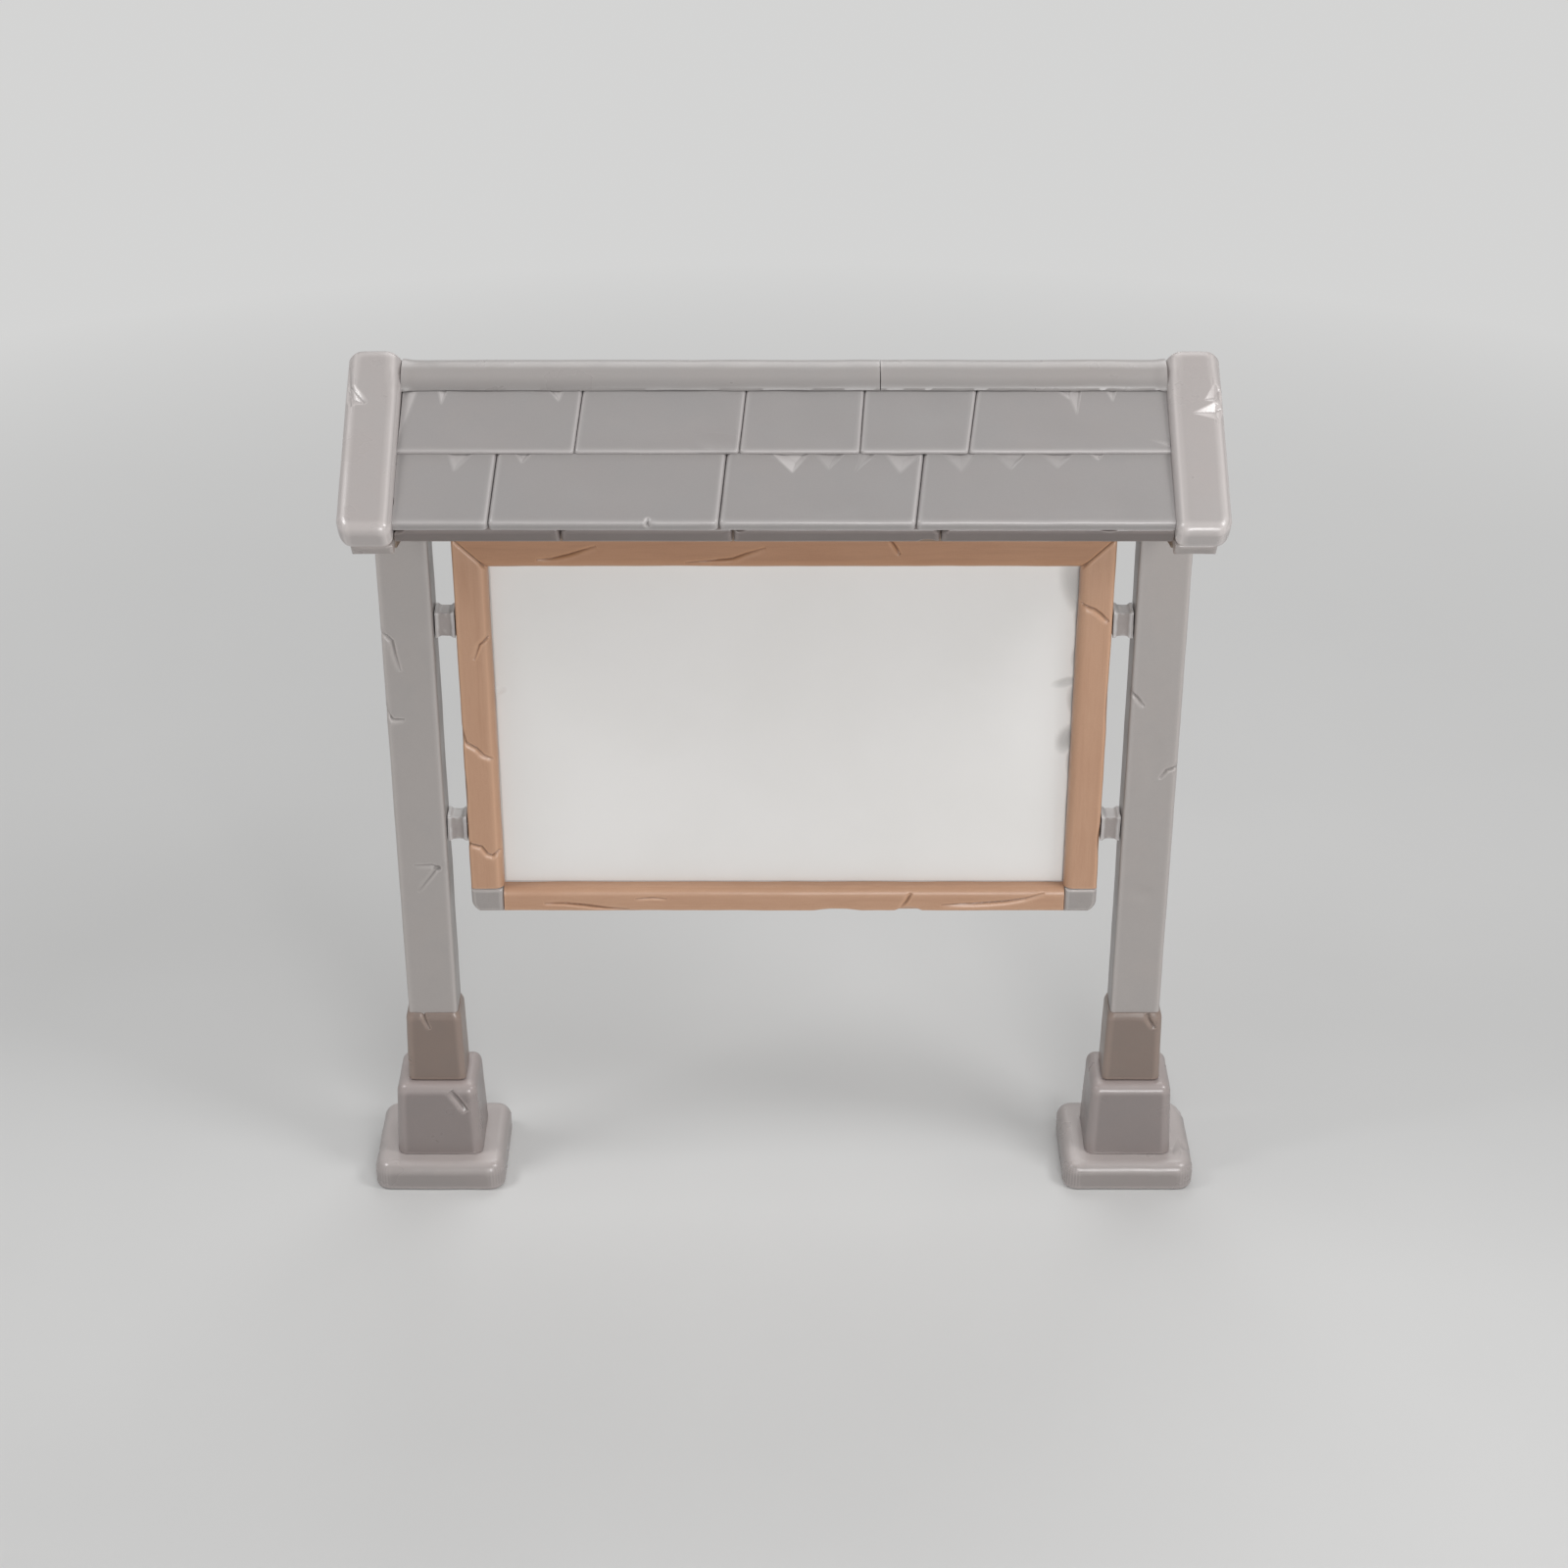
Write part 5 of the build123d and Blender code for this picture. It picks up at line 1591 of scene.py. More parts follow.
@dataclass
class Brackets:
    """The four short brackets, waisted between their two flanges."""

    waist: float = 0.0052
    flange: float = 0.013

    def build(self) -> None:
        """Build the brackets."""
        for name, side in SIDES.items():
            for place in ("lower", "upper"):
                self.bracket(f"bracket_{place}_{name}")

    def bracket(self, node: str) -> None:
        """Build one bracket."""
        low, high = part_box(node)
        middle = (low + high) / 2
        half = (high - low) / 2
        piece = Workpiece.block(f"metal_{node}", low, high)
        piece.soften(0.006, lambda at, way: np.abs(way[:, 0]) > 0.9, 4)
        piece.lattice((0.003, 0.004, 0.004))
        points = piece.points()
        inward = np.clip((half.x - self.flange * 0.5 - np.abs(points[:, 0] - middle.x)) / (self.flange * 0.6), 0, 1)
        inward = inward * inward * (3 - 2 * inward)
        ends = np.abs(points[:, 0] - middle.x) > half.x - 0.001
        piece.shift(np.where(ends, 0.0, -inward * self.waist))
        piece.ripple(0.0030, 0.028)
        # Edge wear with painted highlight and painted shade in creases, and painted light on the tops
        piece.worn()
        piece.paint_top_light(0.95)
        piece.closed(BRACKET_METAL, node)


PITCH = math.radians(32.4)
APEX_ROUND = 0.027


def apex_height() -> float:
    """Return the height at which the two planes over the caps would meet."""
    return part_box("barge_cap_front_left")[1].z + APEX_ROUND * (1.0 / math.cos(PITCH) - 1.0)


@dataclass
class Roof:
    """The gabled roof: caps, rafter ends, deck, two courses of tiles on each slope and the ridge roll."""

    cap_length: float = 0.470
    cap_thickness: float = 0.080
    cap_round: float = 0.023
    cap_crown: float = 0.003
    rafter_thickness: float = 0.037
    rafter_setback: float = 0.008
    deck_depth: float = 0.050
    deck_thickness: float = 0.050
    deck_setback: float = 0.031
    deck_joint: float = 0.0020
    deck_round: float = 0.011
    tile_nose_depth: float = 0.024
    tile_step: float = 0.009
    tile_setback: float = 0.033
    tile_exposure: float = 0.184
    tile_lap: float = 0.046
    tile_joint: float = 0.0010
    head_reach: float = 0.030
    joint: float = 0.0003
    upper_round: float = 0.0080
    lower_round: float = 0.0105
    roll_radius: float = 0.060
    roll_drop: float = 0.083
    roll_flare: float = 0.004
    # How dark the painted shade on the roll's underside is
    roll_painted_shade: float = 0.8
    deck_shares: tuple[float, ...] = (-0.574, -0.131, 0.402)
    upper_heads: tuple[float, ...] = (-0.525, -0.097, 0.2125, 0.507)
    upper_noses: tuple[float, ...] = (-0.543, -0.116, 0.196, 0.477)
    lower_heads: tuple[float, ...] = (-0.740, -0.144, 0.368)
    lower_noses: tuple[float, ...] = (-0.757, -0.167, 0.337)

    def __post_init__(self) -> None:
        """Work out the places that follow from the sizes and the frame."""
        self.apex = apex_height()
        self.half_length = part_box("ridge_roll_right")[1].x
        self.lower_nose = self.cap_length - self.tile_setback
        self.upper_nose = self.lower_nose - self.tile_exposure
        self.lower_head = self.upper_nose - self.tile_lap
        self.tile_bottom = self.deck_depth - self.joint
        self.upper_head = (self.head_reach + self.tile_bottom * math.sin(PITCH)) / math.cos(PITCH)

    def build(self) -> None:
        """Build the whole roof."""
        for place in ("front", "back"):
            for name in SIDES:
                self.cap(place, name)
            self.deck(place)
            self.course(place, True)
            self.course(place, False)
        for name in SIDES:
            self.rafter_pair(name)
            self.roll(name)

    def bench_block(self, name: str, across: Place, along: Place, depth: Place) -> Workpiece:
        """Add a block on the bench.

        Args:
            name: The piece's name.
            across: Its lowest and highest x.
            along: Where it starts and ends down the slope.
            depth: The depths of its top and its underside.

        Returns:
            The piece, with x across, -y down the slope and -z into the roof.
        """
        low = (across[0], -along[1], -depth[1])
        high = (across[1], -along[0], -depth[0])
        return Workpiece.block(name, low, high)

    def mitre(self, piece: Workpiece, gap: float = 0.00015) -> None:
        """Cut a bench piece upright along the ridge."""
        outward = (0.0, math.cos(PITCH), -math.sin(PITCH))
        place = (0.0, -gap * math.cos(PITCH), gap * math.sin(PITCH))
        piece.slice_off(place, outward)

    def cap(self, place: str, name: str) -> None:
        """Build one half of a gable's cap."""
        node = f"barge_cap_{place}_{name}"
        low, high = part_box(node)
        piece = self.bench_block(f"stone_{node}", (low.x, high.x), (-0.2, self.cap_length), (0.0, self.cap_thickness))
        self.mitre(piece)
        ridge = self.on_mitre
        piece.soften(self.cap_round, lambda at, way: ~ridge(at), 7)
        piece.lattice((0.005, 0.006, 0.006))
        points = piece.points()
        side = SIDES[name]
        middle, half = (low.x + high.x) / 2, (high.x - low.x) / 2
        upper = np.clip(1.0 + points[:, 2] / 0.03, 0.0, 1.0)
        piece.shift(-self.cap_crown * upper * (np.abs(points[:, 0] - middle) / half) ** 3, "Z")
        piece.ripple(0.0026, 0.12, "Z")
        points = piece.points()
        outer = np.clip(1.0 - (max(abs(low.x), abs(high.x)) - side * points[:, 0]) / 0.07, 0.0, 1.0)
        end = np.clip(1.0 - (self.cap_length + points[:, 1]) / 0.034, 0.0, 1.0)
        piece.shift(-side * 0.011 * outer * end, "X")
        marks = {
            "front_left": [
                Chip(((-962, 60), (-949, 84), (-912, 143), (-948, 146), (-968, 112)), (0.4, 0.6, 0.35, 0.4, 0.6), 6.0, 0.3),
                Crack(((-958, 34), (-951, 94), (-914, 143)), 3.5, 6.0, 10.0, 0.1, 0.3),
                Crack(((-950, 120), (-944, 150)), 3.0, 5.0, 6.0, 0.1, 0.3),
            ],
            "front_right": [
                Chip(((918, 134), (944, 88), (968, 96), (964, 140)), (0.4, 0.6, 0.6, 0.5), 7.0, 0.4),
                Chip(((890, 168), (938, 140), (966, 148), (944, 184)), (0.35, 0.6, 0.6, 0.35), 7.0, 0.5),
            ],
        }
        piece.carve(bench_top(0.0), marks.get(f"{place}_{name}", []))
        piece.placed(PITCH, self.apex, place == "back")
        points = piece.points()
        centre = high.z - APEX_ROUND
        reach = np.clip(np.abs(points[:, 1]), 0.0, APEX_ROUND)
        arc = centre + np.sqrt(APEX_ROUND**2 - reach**2)
        slope = self.apex - np.abs(points[:, 1]) * math.tan(PITCH)
        drop = np.where(np.abs(points[:, 1]) < APEX_ROUND * math.sin(PITCH), slope - arc, 0.0)
        near = np.clip(1.0 - (slope - points[:, 2]) / 0.05, 0.0, 1.0)
        side_cut = self.corner_cut(np.abs(points[:, 0]), np.abs(points[:, 1]), sorted((abs(low.x), abs(high.x))))
        piece.shift(-np.clip(drop + side_cut, 0.0, None) * near, "Z")
        # Edge wear with painted highlight and painted shade in creases, and painted highlight streaks along both long
        # rounds
        piece.worn(0.012)
        piece.paint_side_highlight(0.75, LEFT, RIGHT)
        piece.closed(CAP_STONE, node)

    def corner_cut(self, aside: np.ndarray, away: np.ndarray, sides: Sequence[float]) -> np.ndarray:
        """Return how far the corners of a cap are cut down beside the ridge.

        Args:
            aside: Each point's distance from the middle of the roof along X.
            away: Each point's distance from the ridge along Y.
            sides: The cap's inner and outer side, as distances from the middle.

        Returns:
            The fall at each point, in metres.
        """
        inner = np.clip(1.0 - (aside - sides[0]) / 0.030, 0.0, 1.0) * 0.012
        outer = np.clip(1.0 - (sides[1] - aside) / 0.026, 0.0, 1.0) * 0.008
        return (inner + outer) * np.clip(1.5 - away / 0.06, 0.0, 1.0)

    def on_mitre(self, middles: np.ndarray) -> np.ndarray:
        """Say which bench points lie on the upright cut along the ridge."""
        return np.abs(middles[:, 1] * math.cos(PITCH) - middles[:, 2] * math.sin(PITCH)) < 0.0006

    def rafter_pair(self, name: str) -> None:
        """Build the front and back rafter under one gable's caps, as one piece for their node."""
        node = f"rafters_{name}"
        low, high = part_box(node)
        halves = []
        for place in ("front", "back"):
            half = self.bench_block(
                f"{node}_{place}",
                (low.x, high.x),
                (-0.2, self.cap_length - self.rafter_setback),
                (self.cap_thickness + self.joint, self.cap_thickness + self.joint + self.rafter_thickness),
            )
            self.mitre(half)
            half.soften(0.010, lambda at, way: at[:, 1] < -0.4, 4)
            half.lattice((0.012, 0.012, 0.012))
            half.ripple(0.0022, 0.08)
            # Edge wear with painted highlight, and painted shade in creases
            half.worn()
            half.placed(PITCH, self.apex, place == "back")
            halves.append(half)
        self.gather(halves, f"stone_{node}", RAFTER_STONE, node)

    def spans(self, shares: Sequence[float], gap: float) -> list[Place]:
        """Return the x range of each piece of a row, with a gap at every joint."""
        edges = [-self.half_length - gap / 2, *(self.half_length * share for share in shares)]
        edges.append(self.half_length + gap / 2)
        return [(low + gap / 2, high - gap / 2) for low, high in zip(edges, edges[1:])]

    def deck(self, place: str) -> None:
        """Build the deck slabs of one slope, as one piece for their node."""
        node = f"deck_slabs_{place}"
        nose = self.cap_length - self.deck_setback
        slabs = []
        for number, span in enumerate(self.spans(self.deck_shares, self.deck_joint)):
            slab = self.bench_block(
                f"{node}_{number}", span, (-0.2, nose), (self.deck_depth, self.deck_depth + self.deck_thickness)
            )
            self.mitre(slab)
            slab.soften(self.deck_round, lambda at, way: (at[:, 1] < -nose + 0.001) & self.between_caps(at), 5)
            slab.lattice((0.010, 0.014, 0.006))
            slab.ripple(0.0020, 0.09, "Z")
            if place == "front":
                slab.carve(self.deck_nose_face(nose), self.deck_marks())
            # Edge wear with painted highlight and painted shade in creases, painted light on the top, and a painted
            # highlight on the right rounds
            slab.worn()
            slab.paint_top_light(0.6)
            slab.paint_side_highlight(0.8, RIGHT, spread=0.4)
            slab.placed(PITCH, self.apex, place == "back")
            slabs.append(slab)
        self.gather(slabs, f"stone_{node}", DECK_STONE, node)

    def deck_nose_face(self, nose: float) -> Face:
        """Return the front face of the deck on the bench, laid out by x and depth."""
        return Face((0.0, -nose, 0.0), (1.0, 0.0, 0.0), (0.0, 0.0, 1.0), (0.0, -1.0, 0.0), 16.0)

    def deck_marks(self) -> list[Mark]:
        """Return the nicks in the deck's front face."""
        return [
            Scoop((340, -52), 16, 14, 9.0, 0.4),
            Scoop((314, -99), 24, 14, 8.0, -0.2),
            Scoop((-836, -50), 22, 16, 10.0, 0.4),
            Scoop((700, -50), 22, 8, 5.0, 0.0),
            Scoop((-480, -52), 10, 9, 6.0, 0.0),
            Scoop((-98, -52), 14, 9, 7.0, 0.0),
        ]

    def gather(self, pieces: Sequence[Workpiece], name: str, finish: Finish, node: str) -> Workpiece:
        """Join pieces that share a node into one object, and finish it.

        Args:
            pieces: The pieces, the first of which keeps them all.
            name: The name of the whole.
            finish: Its finish.
            node: The node that it stands for.

        Returns:
            The whole.
        """
        first = pieces[0]
        first.hold()
        for other in pieces[1:]:
            other.obj.select_set(True)
        bpy.ops.object.join()
        first.obj.name = name
        first.obj.data.name = name
        return first.closed(finish, node)

    def top_depth(self, along: float, nose: float) -> float:
        """Return how deep the top of a course lies at a place down the slope."""
        return self.tile_nose_depth + (nose - along) * self.tile_step / self.tile_exposure

    def course(self, place: str, upper: bool) -> None:
        """Build a course of tiles on one slope."""
        word = "upper" if upper else "lower"
        heads = self.spans(self.upper_heads if upper else self.lower_heads, self.tile_joint)
        noses = self.spans(self.upper_noses if upper else self.lower_noses, self.tile_joint)
        tiles = []
        for number, (head, nose) in enumerate(zip(heads, noses), start=1):
            name = f"{place}_{word}_{number}"
            tile = self.tile(name, head, nose, upper)
            marks = self.tile_marks().get(name, [])
            tile.carve(bench_top(self.tile_nose_depth + 0.004), marks)
            # Edge wear with painted highlight and painted shade in creases, and painted highlights on the rounds facing
            # right, down the slope and left
            tile.worn(0.007)
            tile.paint_side_highlight(1.0, RIGHT, lean=0.5, spread=0.4)
            tile.paint_side_highlight(0.8, DOWN_SLOPE, lean=0.5, spread=0.3)
            tile.paint_side_highlight(0.4, LEFT, lean=0.5, spread=0.3)
            tile.placed(PITCH, self.apex, place == "back")
            if place == "front":
                tile.obj.name = f"stone_tile_{name}"
                tile.closed(TILE_STONE, f"tile_{name}")
            else:
                tiles.append(tile)
        if tiles:
            self.gather(tiles, f"stone_tiles_back_{word}", TILE_STONE, f"tiles_back_{word}")

    def tile(self, name: str, head: Place, nose: Place, upper: bool) -> Workpiece:
        """Build one tile on the bench: leaning joints, a soft nose and a lapped underside.

        Args:
            name: The tile's name.
            head: Its x range at its head.
            nose: Its x range at its nose.
            upper: Whether it is one of the upper course.

        Returns:
            The tile.
        """
        start = self.upper_head if upper else self.lower_head
        end = self.upper_nose if upper else self.lower_nose
        lap_depth = self.top_depth(end, self.lower_nose) - self.joint
        bottom = lap_depth if upper else self.tile_bottom
        piece = self.bench_block(name, nose, (start, end), (self.tile_nose_depth, bottom))
        points = piece.points()
        at_head = points[:, 1] > -start - 0.001
        top = points[:, 2] > -self.tile_nose_depth - 0.001
        left = points[:, 0] < (nose[0] + nose[1]) / 2
        piece.move_points(at_head & left, (head[0] - nose[0], 0.0, 0.0))
        piece.move_points(at_head & ~left, (head[1] - nose[1], 0.0, 0.0))
        fall = self.top_depth(start, end) - self.tile_nose_depth
        piece.move_points(at_head & top, (0.0, 0.0, -fall))
        if upper:
            piece.move_points(at_head & ~top, (0.0, 0.0, -fall))
        rounded = self.upper_round if upper else self.lower_round
        piece.soften(rounded, lambda at, way: self.on_tile_edge(at, way, start, end), 5)
        piece.lattice((0.008, 0.008, 0.010))
        piece.ripple(0.0026, 0.10, "Z")
        return piece

    def on_tile_edge(self, middles: np.ndarray, way: np.ndarray, start: float, end: float) -> np.ndarray:
        """Say which edges of a tile are rounded: those of its top, and the upright ones at its nose.

        Args:
            middles: The edges' middles on the bench.
            way: The edges' directions.
            start: Where the tile's head lies down the slope.
            end: Where its nose lies.

        Returns:
            Which edges they are.
        """
        upright = (middles[:, 1] < -end + 0.002) & (np.abs(way[:, 2]) > 0.9)
        above = self.on_tile_top(middles, end) & (middles[:, 1] < -start - 0.003)
        return (upright | above) & self.between_caps(middles)

    def between_caps(self, middles: np.ndarray) -> np.ndarray:
        """Say which points don't lie against a cap, where nothing is rounded."""
        return np.abs(middles[:, 0]) < self.half_length - 0.002

    def on_tile_top(self, middles: np.ndarray, nose: float) -> np.ndarray:
        """Say which bench points lie on the top of a tile with its nose at a place."""
        surface = self.tile_nose_depth + (nose + middles[:, 1]) * self.tile_step / self.tile_exposure
        return np.abs(-middles[:, 2] - surface) < 0.0008

    def tile_marks(self) -> dict[str, list[Mark]]:
        """Return the facets and nicks of the front tiles, laid out by x and the way down the slope."""
        return {
            "front_upper_1": [
                Chip(((-846, 258), (-800, 70), (-868, 70), (-868, 258)), (0.14, 0.9, 0.14, 0.9), 4.0, 0.8),
                Chip(((-764, 72), (-736, 72), (-752, 128)), (0.3, 0.7, 0.25), 3.0, 0.9),
                Chip(((-526, 72), (-480, 72), (-493, 118)), (0.3, 0.25, 0.6), 3.0, 0.8),
                Scoop((-640, 190), 150, 60, 2.4, 0.3),
            ],
            "front_upper_2": [Scoop((-250, 150), 130, 70, 2.4, -0.2), Scoop((-140, 225), 60, 24, 2.0, 0.1)],
            "front_upper_3": [Scoop((60, 190), 90, 60, 2.2, 0.3)],
            "front_upper_4": [Scoop((320, 140), 80, 60, 2.4, -0.3)],
            "front_upper_5": [
                Chip(((582, 72), (636, 72), (627, 112)), (0.3, 0.6, 0.25), 3.0, 0.8),
                Chip(((620, 86), (656, 72), (641, 156)), (0.3, 0.7, 0.2), 3.0, 0.6),
                Chip(((702, 72), (736, 72), (721, 118)), (0.3, 0.5, 0.3), 3.0, 0.8),
                Chip(((788, 216), (852, 232), (852, 246)), (0.25, 0.5, 0.25), 3.0, 0.5),
                Scoop((560, 200), 110, 50, 2.4, 0.2),
            ],
            "front_lower_1": [
                Chip(((-735, 240), (-668, 240), (-716, 302)), (0.25, 0.35, 0.22), 3.0, 0.5),
                Scoop((-760, 390), 70, 40, 2.0, 0.2),
            ],
            "front_lower_2": [
                Chip(((-590, 240), (-541, 240), (-569, 278)), (0.25, 0.5, 0.35), 3.0, 0.6),
                Crack(((-293, 448), (-293, 421)), 8.0, 7.0, 7.0, 0.0, 0.5),
                Scoop((-400, 330), 170, 60, 2.4, 0.1),
            ],
            "front_lower_3": [
                Chip(((-104, 240), (-30, 240), (-10, 272)), (0.2, 0.4, 0.1), 3.0, 0.25),
                Chip(((-40, 238), (64, 238), (18, 304)), (0.3, 0.5, 0.22), 5.5, 0.95),
                Chip(((58, 240), (142, 240), (96, 296)), (0.25, 0.3, 0.14), 3.5, 0.35),
                Chip(((150, 306), (172, 240), (212, 240)), (0.12, 0.5, 0.25), 3.0, 0.2),
                Chip(((210, 240), (312, 240), (251, 306)), (0.3, 0.2, 0.14), 3.5, 0.5),
                Scoop((100, 390), 120, 40, 2.2, 0.0),
            ],
            "front_lower_4": [
                Chip(((334, 240), (425, 240), (386, 306)), (0.3, 0.12, 0.12), 3.5, 0.3),
                Chip(((448, 240), (536, 240), (490, 296)), (0.12, 0.5, 0.14), 3.0, 0.25),
                Chip(((548, 240), (640, 240), (592, 292)), (0.25, 0.3, 0.15), 3.0, 0.3),
                Chip(((650, 238), (706, 238), (682, 270)), (0.25, 0.5, 0.3), 3.0, 1.0),
                Scoop((640, 380), 160, 50, 2.6, -0.1),
            ],
        }

    def roll(self, name: str) -> None:
        """Build one length of the ridge roll: round above, cut to the tiles, flared against its cap."""
        node = f"ridge_roll_{name}"
        low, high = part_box(node)
        centre_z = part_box("barge_cap_front_left")[1].z - self.roll_drop
        middle = ((low.x + high.x) / 2, 0.0, centre_z)
        turn = (0.0, math.radians(90.0), 0.0)
        piece = Workpiece.rod(f"stone_{node}", middle, turn, high.x - low.x, self.roll_radius)
        depth = self.top_depth(0.09, self.upper_nose) - 2 * self.joint
        under = []
        for side in (-1, 1):
            below = Workpiece.block("cutter", (low.x - 0.02, -0.3, -0.3), (high.x + 0.02, 0.3, 0.0))
            under.append(below.placed(-side * PITCH, self.apex - depth / math.cos(PITCH)))
        under[0].apply("BOOLEAN", operation="INTERSECT", solver="EXACT", object=under[1].obj)
        bpy.data.objects.remove(under[1].obj)
        piece.cut_with(under[0])
        piece.lattice((0.010, 1.0, 1.0))
        piece.ripple(0.0024, 0.12)
        points = piece.points()
        end = -self.half_length if name == "left" else self.half_length
        away = np.abs(points[:, 0] - end) / 0.030
        swell = np.clip(1.0 - away, 0.0, 1.0) ** 2
        centre = np.array([0.0, 0.0, centre_z])
        radial = points - centre
        radial[:, 0] = 0.0
        outer = np.linalg.norm(radial, axis=1) > self.roll_radius * 0.9
        group_depth = np.where(outer & (points[:, 2] > centre_z - 0.02), swell * self.roll_flare, 0.0)
        piece.shift(group_depth)
        # Edge wear with painted highlight; then painted shade on the roll's underside and a painted shadow line along
        # its foot on the tiles
        piece.worn(0.010)
        points = piece.points()
        underside_shade = np.clip((0.72 - piece.normals()[:, 2]) / 0.4, 0.0, 1.0)
        below = (self.apex - np.abs(points[:, 1]) * math.tan(PITCH) - points[:, 2]) * math.cos(PITCH)
        foot = np.clip(1.0 - (depth - below) / 0.007, 0.0, 1.0)
        piece.paint("cut", np.maximum(self.roll_painted_shade * underside_shade, 0.8 * foot))
        piece.closed(ROLL_STONE, node)


class Carried:
    """The nodes that are kept as they are, each with a finish of its own."""

    finishes: dict[Slot, Finish] = {
        Slot.FIXING_STEEL: FIXING_STEEL,
        Slot.INNER_WOOD: BEAM_WOOD,
        Slot.FRAME_WOOD: LEVEL_WOOD,
        Slot.BRACKET_METAL: BRACKET_METAL,
        Slot.CAP_STONE: CAP_STONE,
        Slot.TILE_STONE: TILE_STONE,
        Slot.DECK_STONE: DECK_STONE,
        Slot.POST_STONE: POST_STONE,
        Slot.PLINTH_STONE: PLINTH_STONE,
        Slot.BOOT_IRON: BOOT_FINISH,
        Slot.PANEL_WHITE: PANEL_WHITE,
    }

    def dress(self) -> None:
        """Give every node that still shows its finish."""
        for name, node in frame["nodes"].items():
            if node.hide_render:
                continue
            finish = self.finishes[SLOT_OF[name]]
            if name in ("bead_left", "bead_right"):
                finish = BEAD_WOOD
            node.data.materials.clear()
            node.data.materials.append(FINISHES.get(finish))
            log.info("%s: kept, finished as %s", name, finish.name)


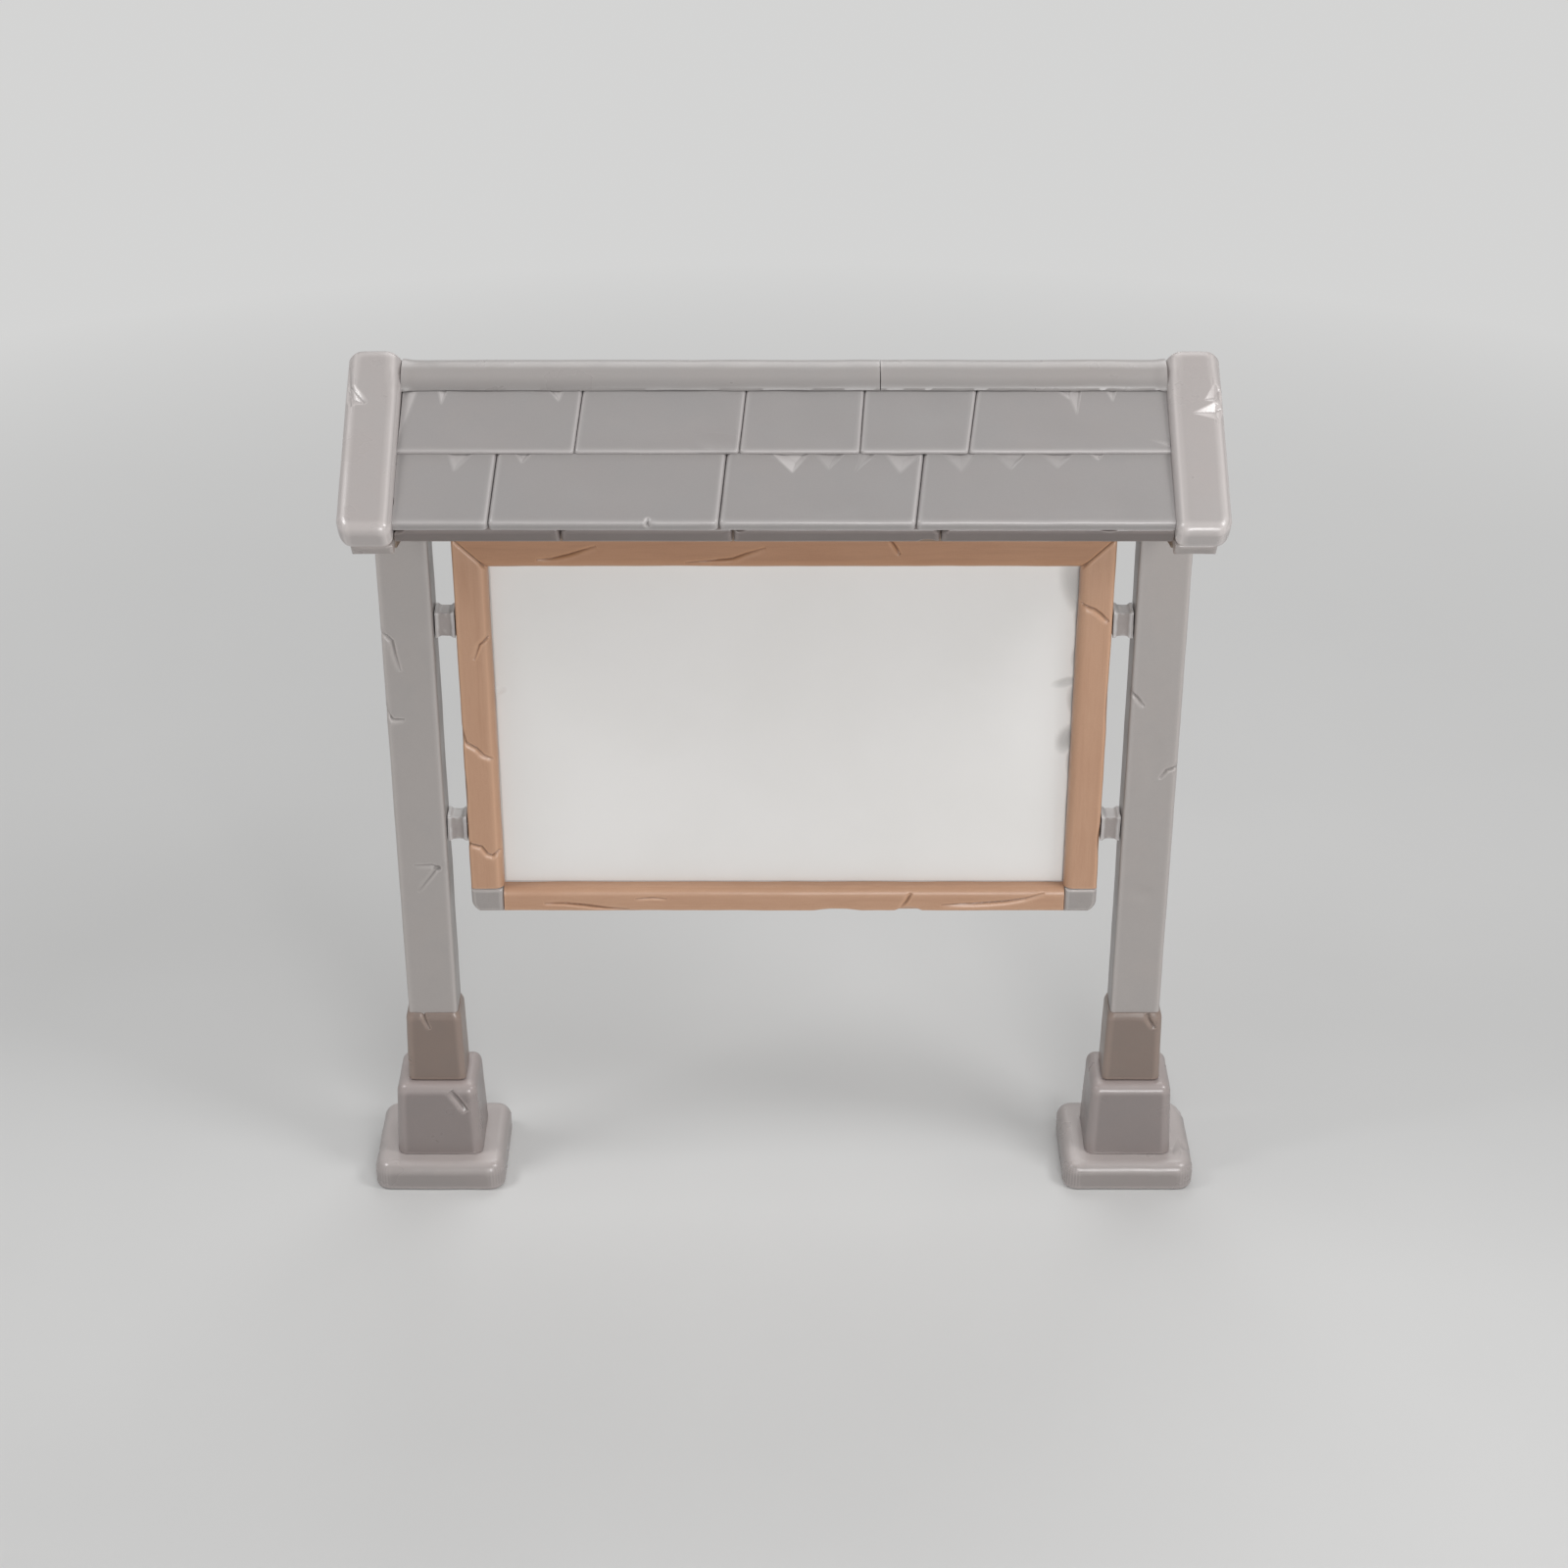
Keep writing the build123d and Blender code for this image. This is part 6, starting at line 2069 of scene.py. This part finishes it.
@dataclass
class Studio:
    """A pale floor, soft lamps, and the camera at the photograph's angle."""

    floor_half: float = 20.0
    floor_tone: Colour = (0.72, 0.72, 0.715)
    camera_place: Point = (0.0, -6.2925, 4.733)
    camera_pitch: float = 60.0
    lens: float = 70.0
    sky: float = 0.30
    far_tone: Colour = (0.66, 0.66, 0.655)
    fade: Place = (2.2, 6.5)

    def build(self) -> None:
        """Build the floor, the lamps, the sky and the camera."""
        self.floor()
        self.lamp("front", (1.4, -7.4, 2.9), 2.8, 222.0)
        self.lamp("right", (3.4, -1.6, 5.0), 1.7, 86.0)
        self.lamp("left", (-3.6, -0.8, 5.0), 1.4, 68.0)
        self.lamp("behind", (0.5, 3.8, 5.8), 4.0, 90.0)
        self.background()
        self.camera()

    def floor(self) -> None:
        """Lay the pale floor."""
        Workpiece.leave()
        bpy.ops.mesh.primitive_plane_add(size=2 * self.floor_half, location=(0.0, 0.0, 0.0))
        floor = bpy.context.object
        floor.name = "studio_floor"
        sheet = NodeSheet("studio_floor")
        clouds = sheet.noise(1.5, 2.0, 0.5)
        low = tuple(value * 0.985 for value in self.floor_tone)
        colour = sheet.blend(sheet.spread(clouds, 0.3, 0.7, 0.0, 1.0), self.floor_tone, low)
        roughness = sheet.spread(clouds, 0.3, 0.7, 0.8, 0.9)
        material = sheet.finish(colour, roughness, sheet.relief(clouds, 0.0001))
        self.brighten_far_floor(sheet)
        floor.data.materials.append(material)

    def brighten_far_floor(self, sheet: NodeSheet) -> None:
        """Let the floor keep its pale tone far away, where the lamps don't reach.

        Args:
            sheet: The floor's material.
        """
        distance = sheet.tree.nodes.new("ShaderNodeVectorMath")
        distance.operation = "LENGTH"
        sheet.join(sheet.place, distance.inputs[0])
        far = sheet.spread(distance.outputs["Value"], *self.fade, 0.0, 1.0)
        share = sheet.tree.nodes.new("ShaderNodeMath")
        share.operation = "MULTIPLY"
        sheet.join(far, share.inputs[0])
        sheet.join(self.seen(sheet.tree), share.inputs[1])
        glow = sheet.tree.nodes.new("ShaderNodeEmission")
        glow.inputs["Color"].default_value = (*self.far_tone, 1.0)
        mix = sheet.tree.nodes.new("ShaderNodeMixShader")
        sheet.join(share.outputs[0], mix.inputs["Fac"])
        sheet.join(sheet.shader.outputs["BSDF"], mix.inputs[1])
        sheet.join(glow.outputs["Emission"], mix.inputs[2])
        sheet.join(mix.outputs["Shader"], sheet.output.inputs["Surface"])

    def seen(self, tree: bpy.types.NodeTree) -> bpy.types.NodeSocket:
        """Return a value that is 1 for what the camera, a gloss or a clear surface shows."""
        path = tree.nodes.new("ShaderNodeLightPath")
        total = path.outputs["Is Camera Ray"]
        for name in ("Is Glossy Ray", "Is Transmission Ray"):
            either = tree.nodes.new("ShaderNodeMath")
            either.operation = "MAXIMUM"
            tree.links.new(total, either.inputs[0])
            tree.links.new(path.outputs[name], either.inputs[1])
            total = either.outputs[0]
        return total

    def lamp(self, name: str, place: Point, size: float, power: float) -> None:
        """Hang a soft square lamp that looks at the middle of the board.

        Args:
            name: The lamp's name.
            place: Where it hangs.
            size: Its width.
            power: Its power in watts.
        """
        light = bpy.data.lights.new(name, "AREA")
        light.shape = "SQUARE"
        light.size = size
        light.energy = power
        lamp = bpy.data.objects.new(name, light)
        bpy.context.scene.collection.objects.link(lamp)
        lamp.location = place
        aim = Vector((0.0, 0.0, 1.2)) - Vector(place)
        lamp.rotation_euler = aim.to_track_quat("-Z", "Y").to_euler()

    def background(self) -> None:
        """Fill the room with even pale light."""
        world = bpy.data.worlds.new("studio_sky")
        bpy.context.scene.world = world
        world.use_nodes = True
        tree = world.node_tree
        sky = tree.nodes["Background"]
        sky.inputs["Color"].default_value = (1.0, 1.0, 1.0, 1.0)
        sky.inputs["Strength"].default_value = self.sky
        shown = tree.nodes.new("ShaderNodeBackground")
        shown.inputs["Color"].default_value = (*self.far_tone, 1.0)
        mix = tree.nodes.new("ShaderNodeMixShader")
        tree.links.new(self.seen(tree), mix.inputs["Fac"])
        tree.links.new(sky.outputs["Background"], mix.inputs[1])
        tree.links.new(shown.outputs["Background"], mix.inputs[2])
        tree.links.new(mix.outputs["Shader"], tree.nodes["World Output"].inputs["Surface"])

    def camera(self) -> None:
        """Set up the camera."""
        data = bpy.data.cameras.new("photo_camera")
        data.lens = self.lens
        data.sensor_width = 36.0
        camera = bpy.data.objects.new("photo_camera", data)
        bpy.context.scene.collection.objects.link(camera)
        camera.location = self.camera_place
        camera.rotation_euler = (math.radians(self.camera_pitch), 0.0, 0.0)
        bpy.context.scene.camera = camera
        bpy.context.scene.view_settings.view_transform = "Standard"


def main() -> None:
    """Build every sub-assembly, dress what is kept, and set up the studio."""
    logging.basicConfig(level=logging.INFO, format="%(message)s")
    for assembly in (Feet(), Posts(), BoardFrame(), Board(), Brackets(), Roof()):
        log.info("building %s", type(assembly).__name__)
        assembly.build()
    Carried().dress()
    Studio().build()


if __name__ == "__main__":
    main()
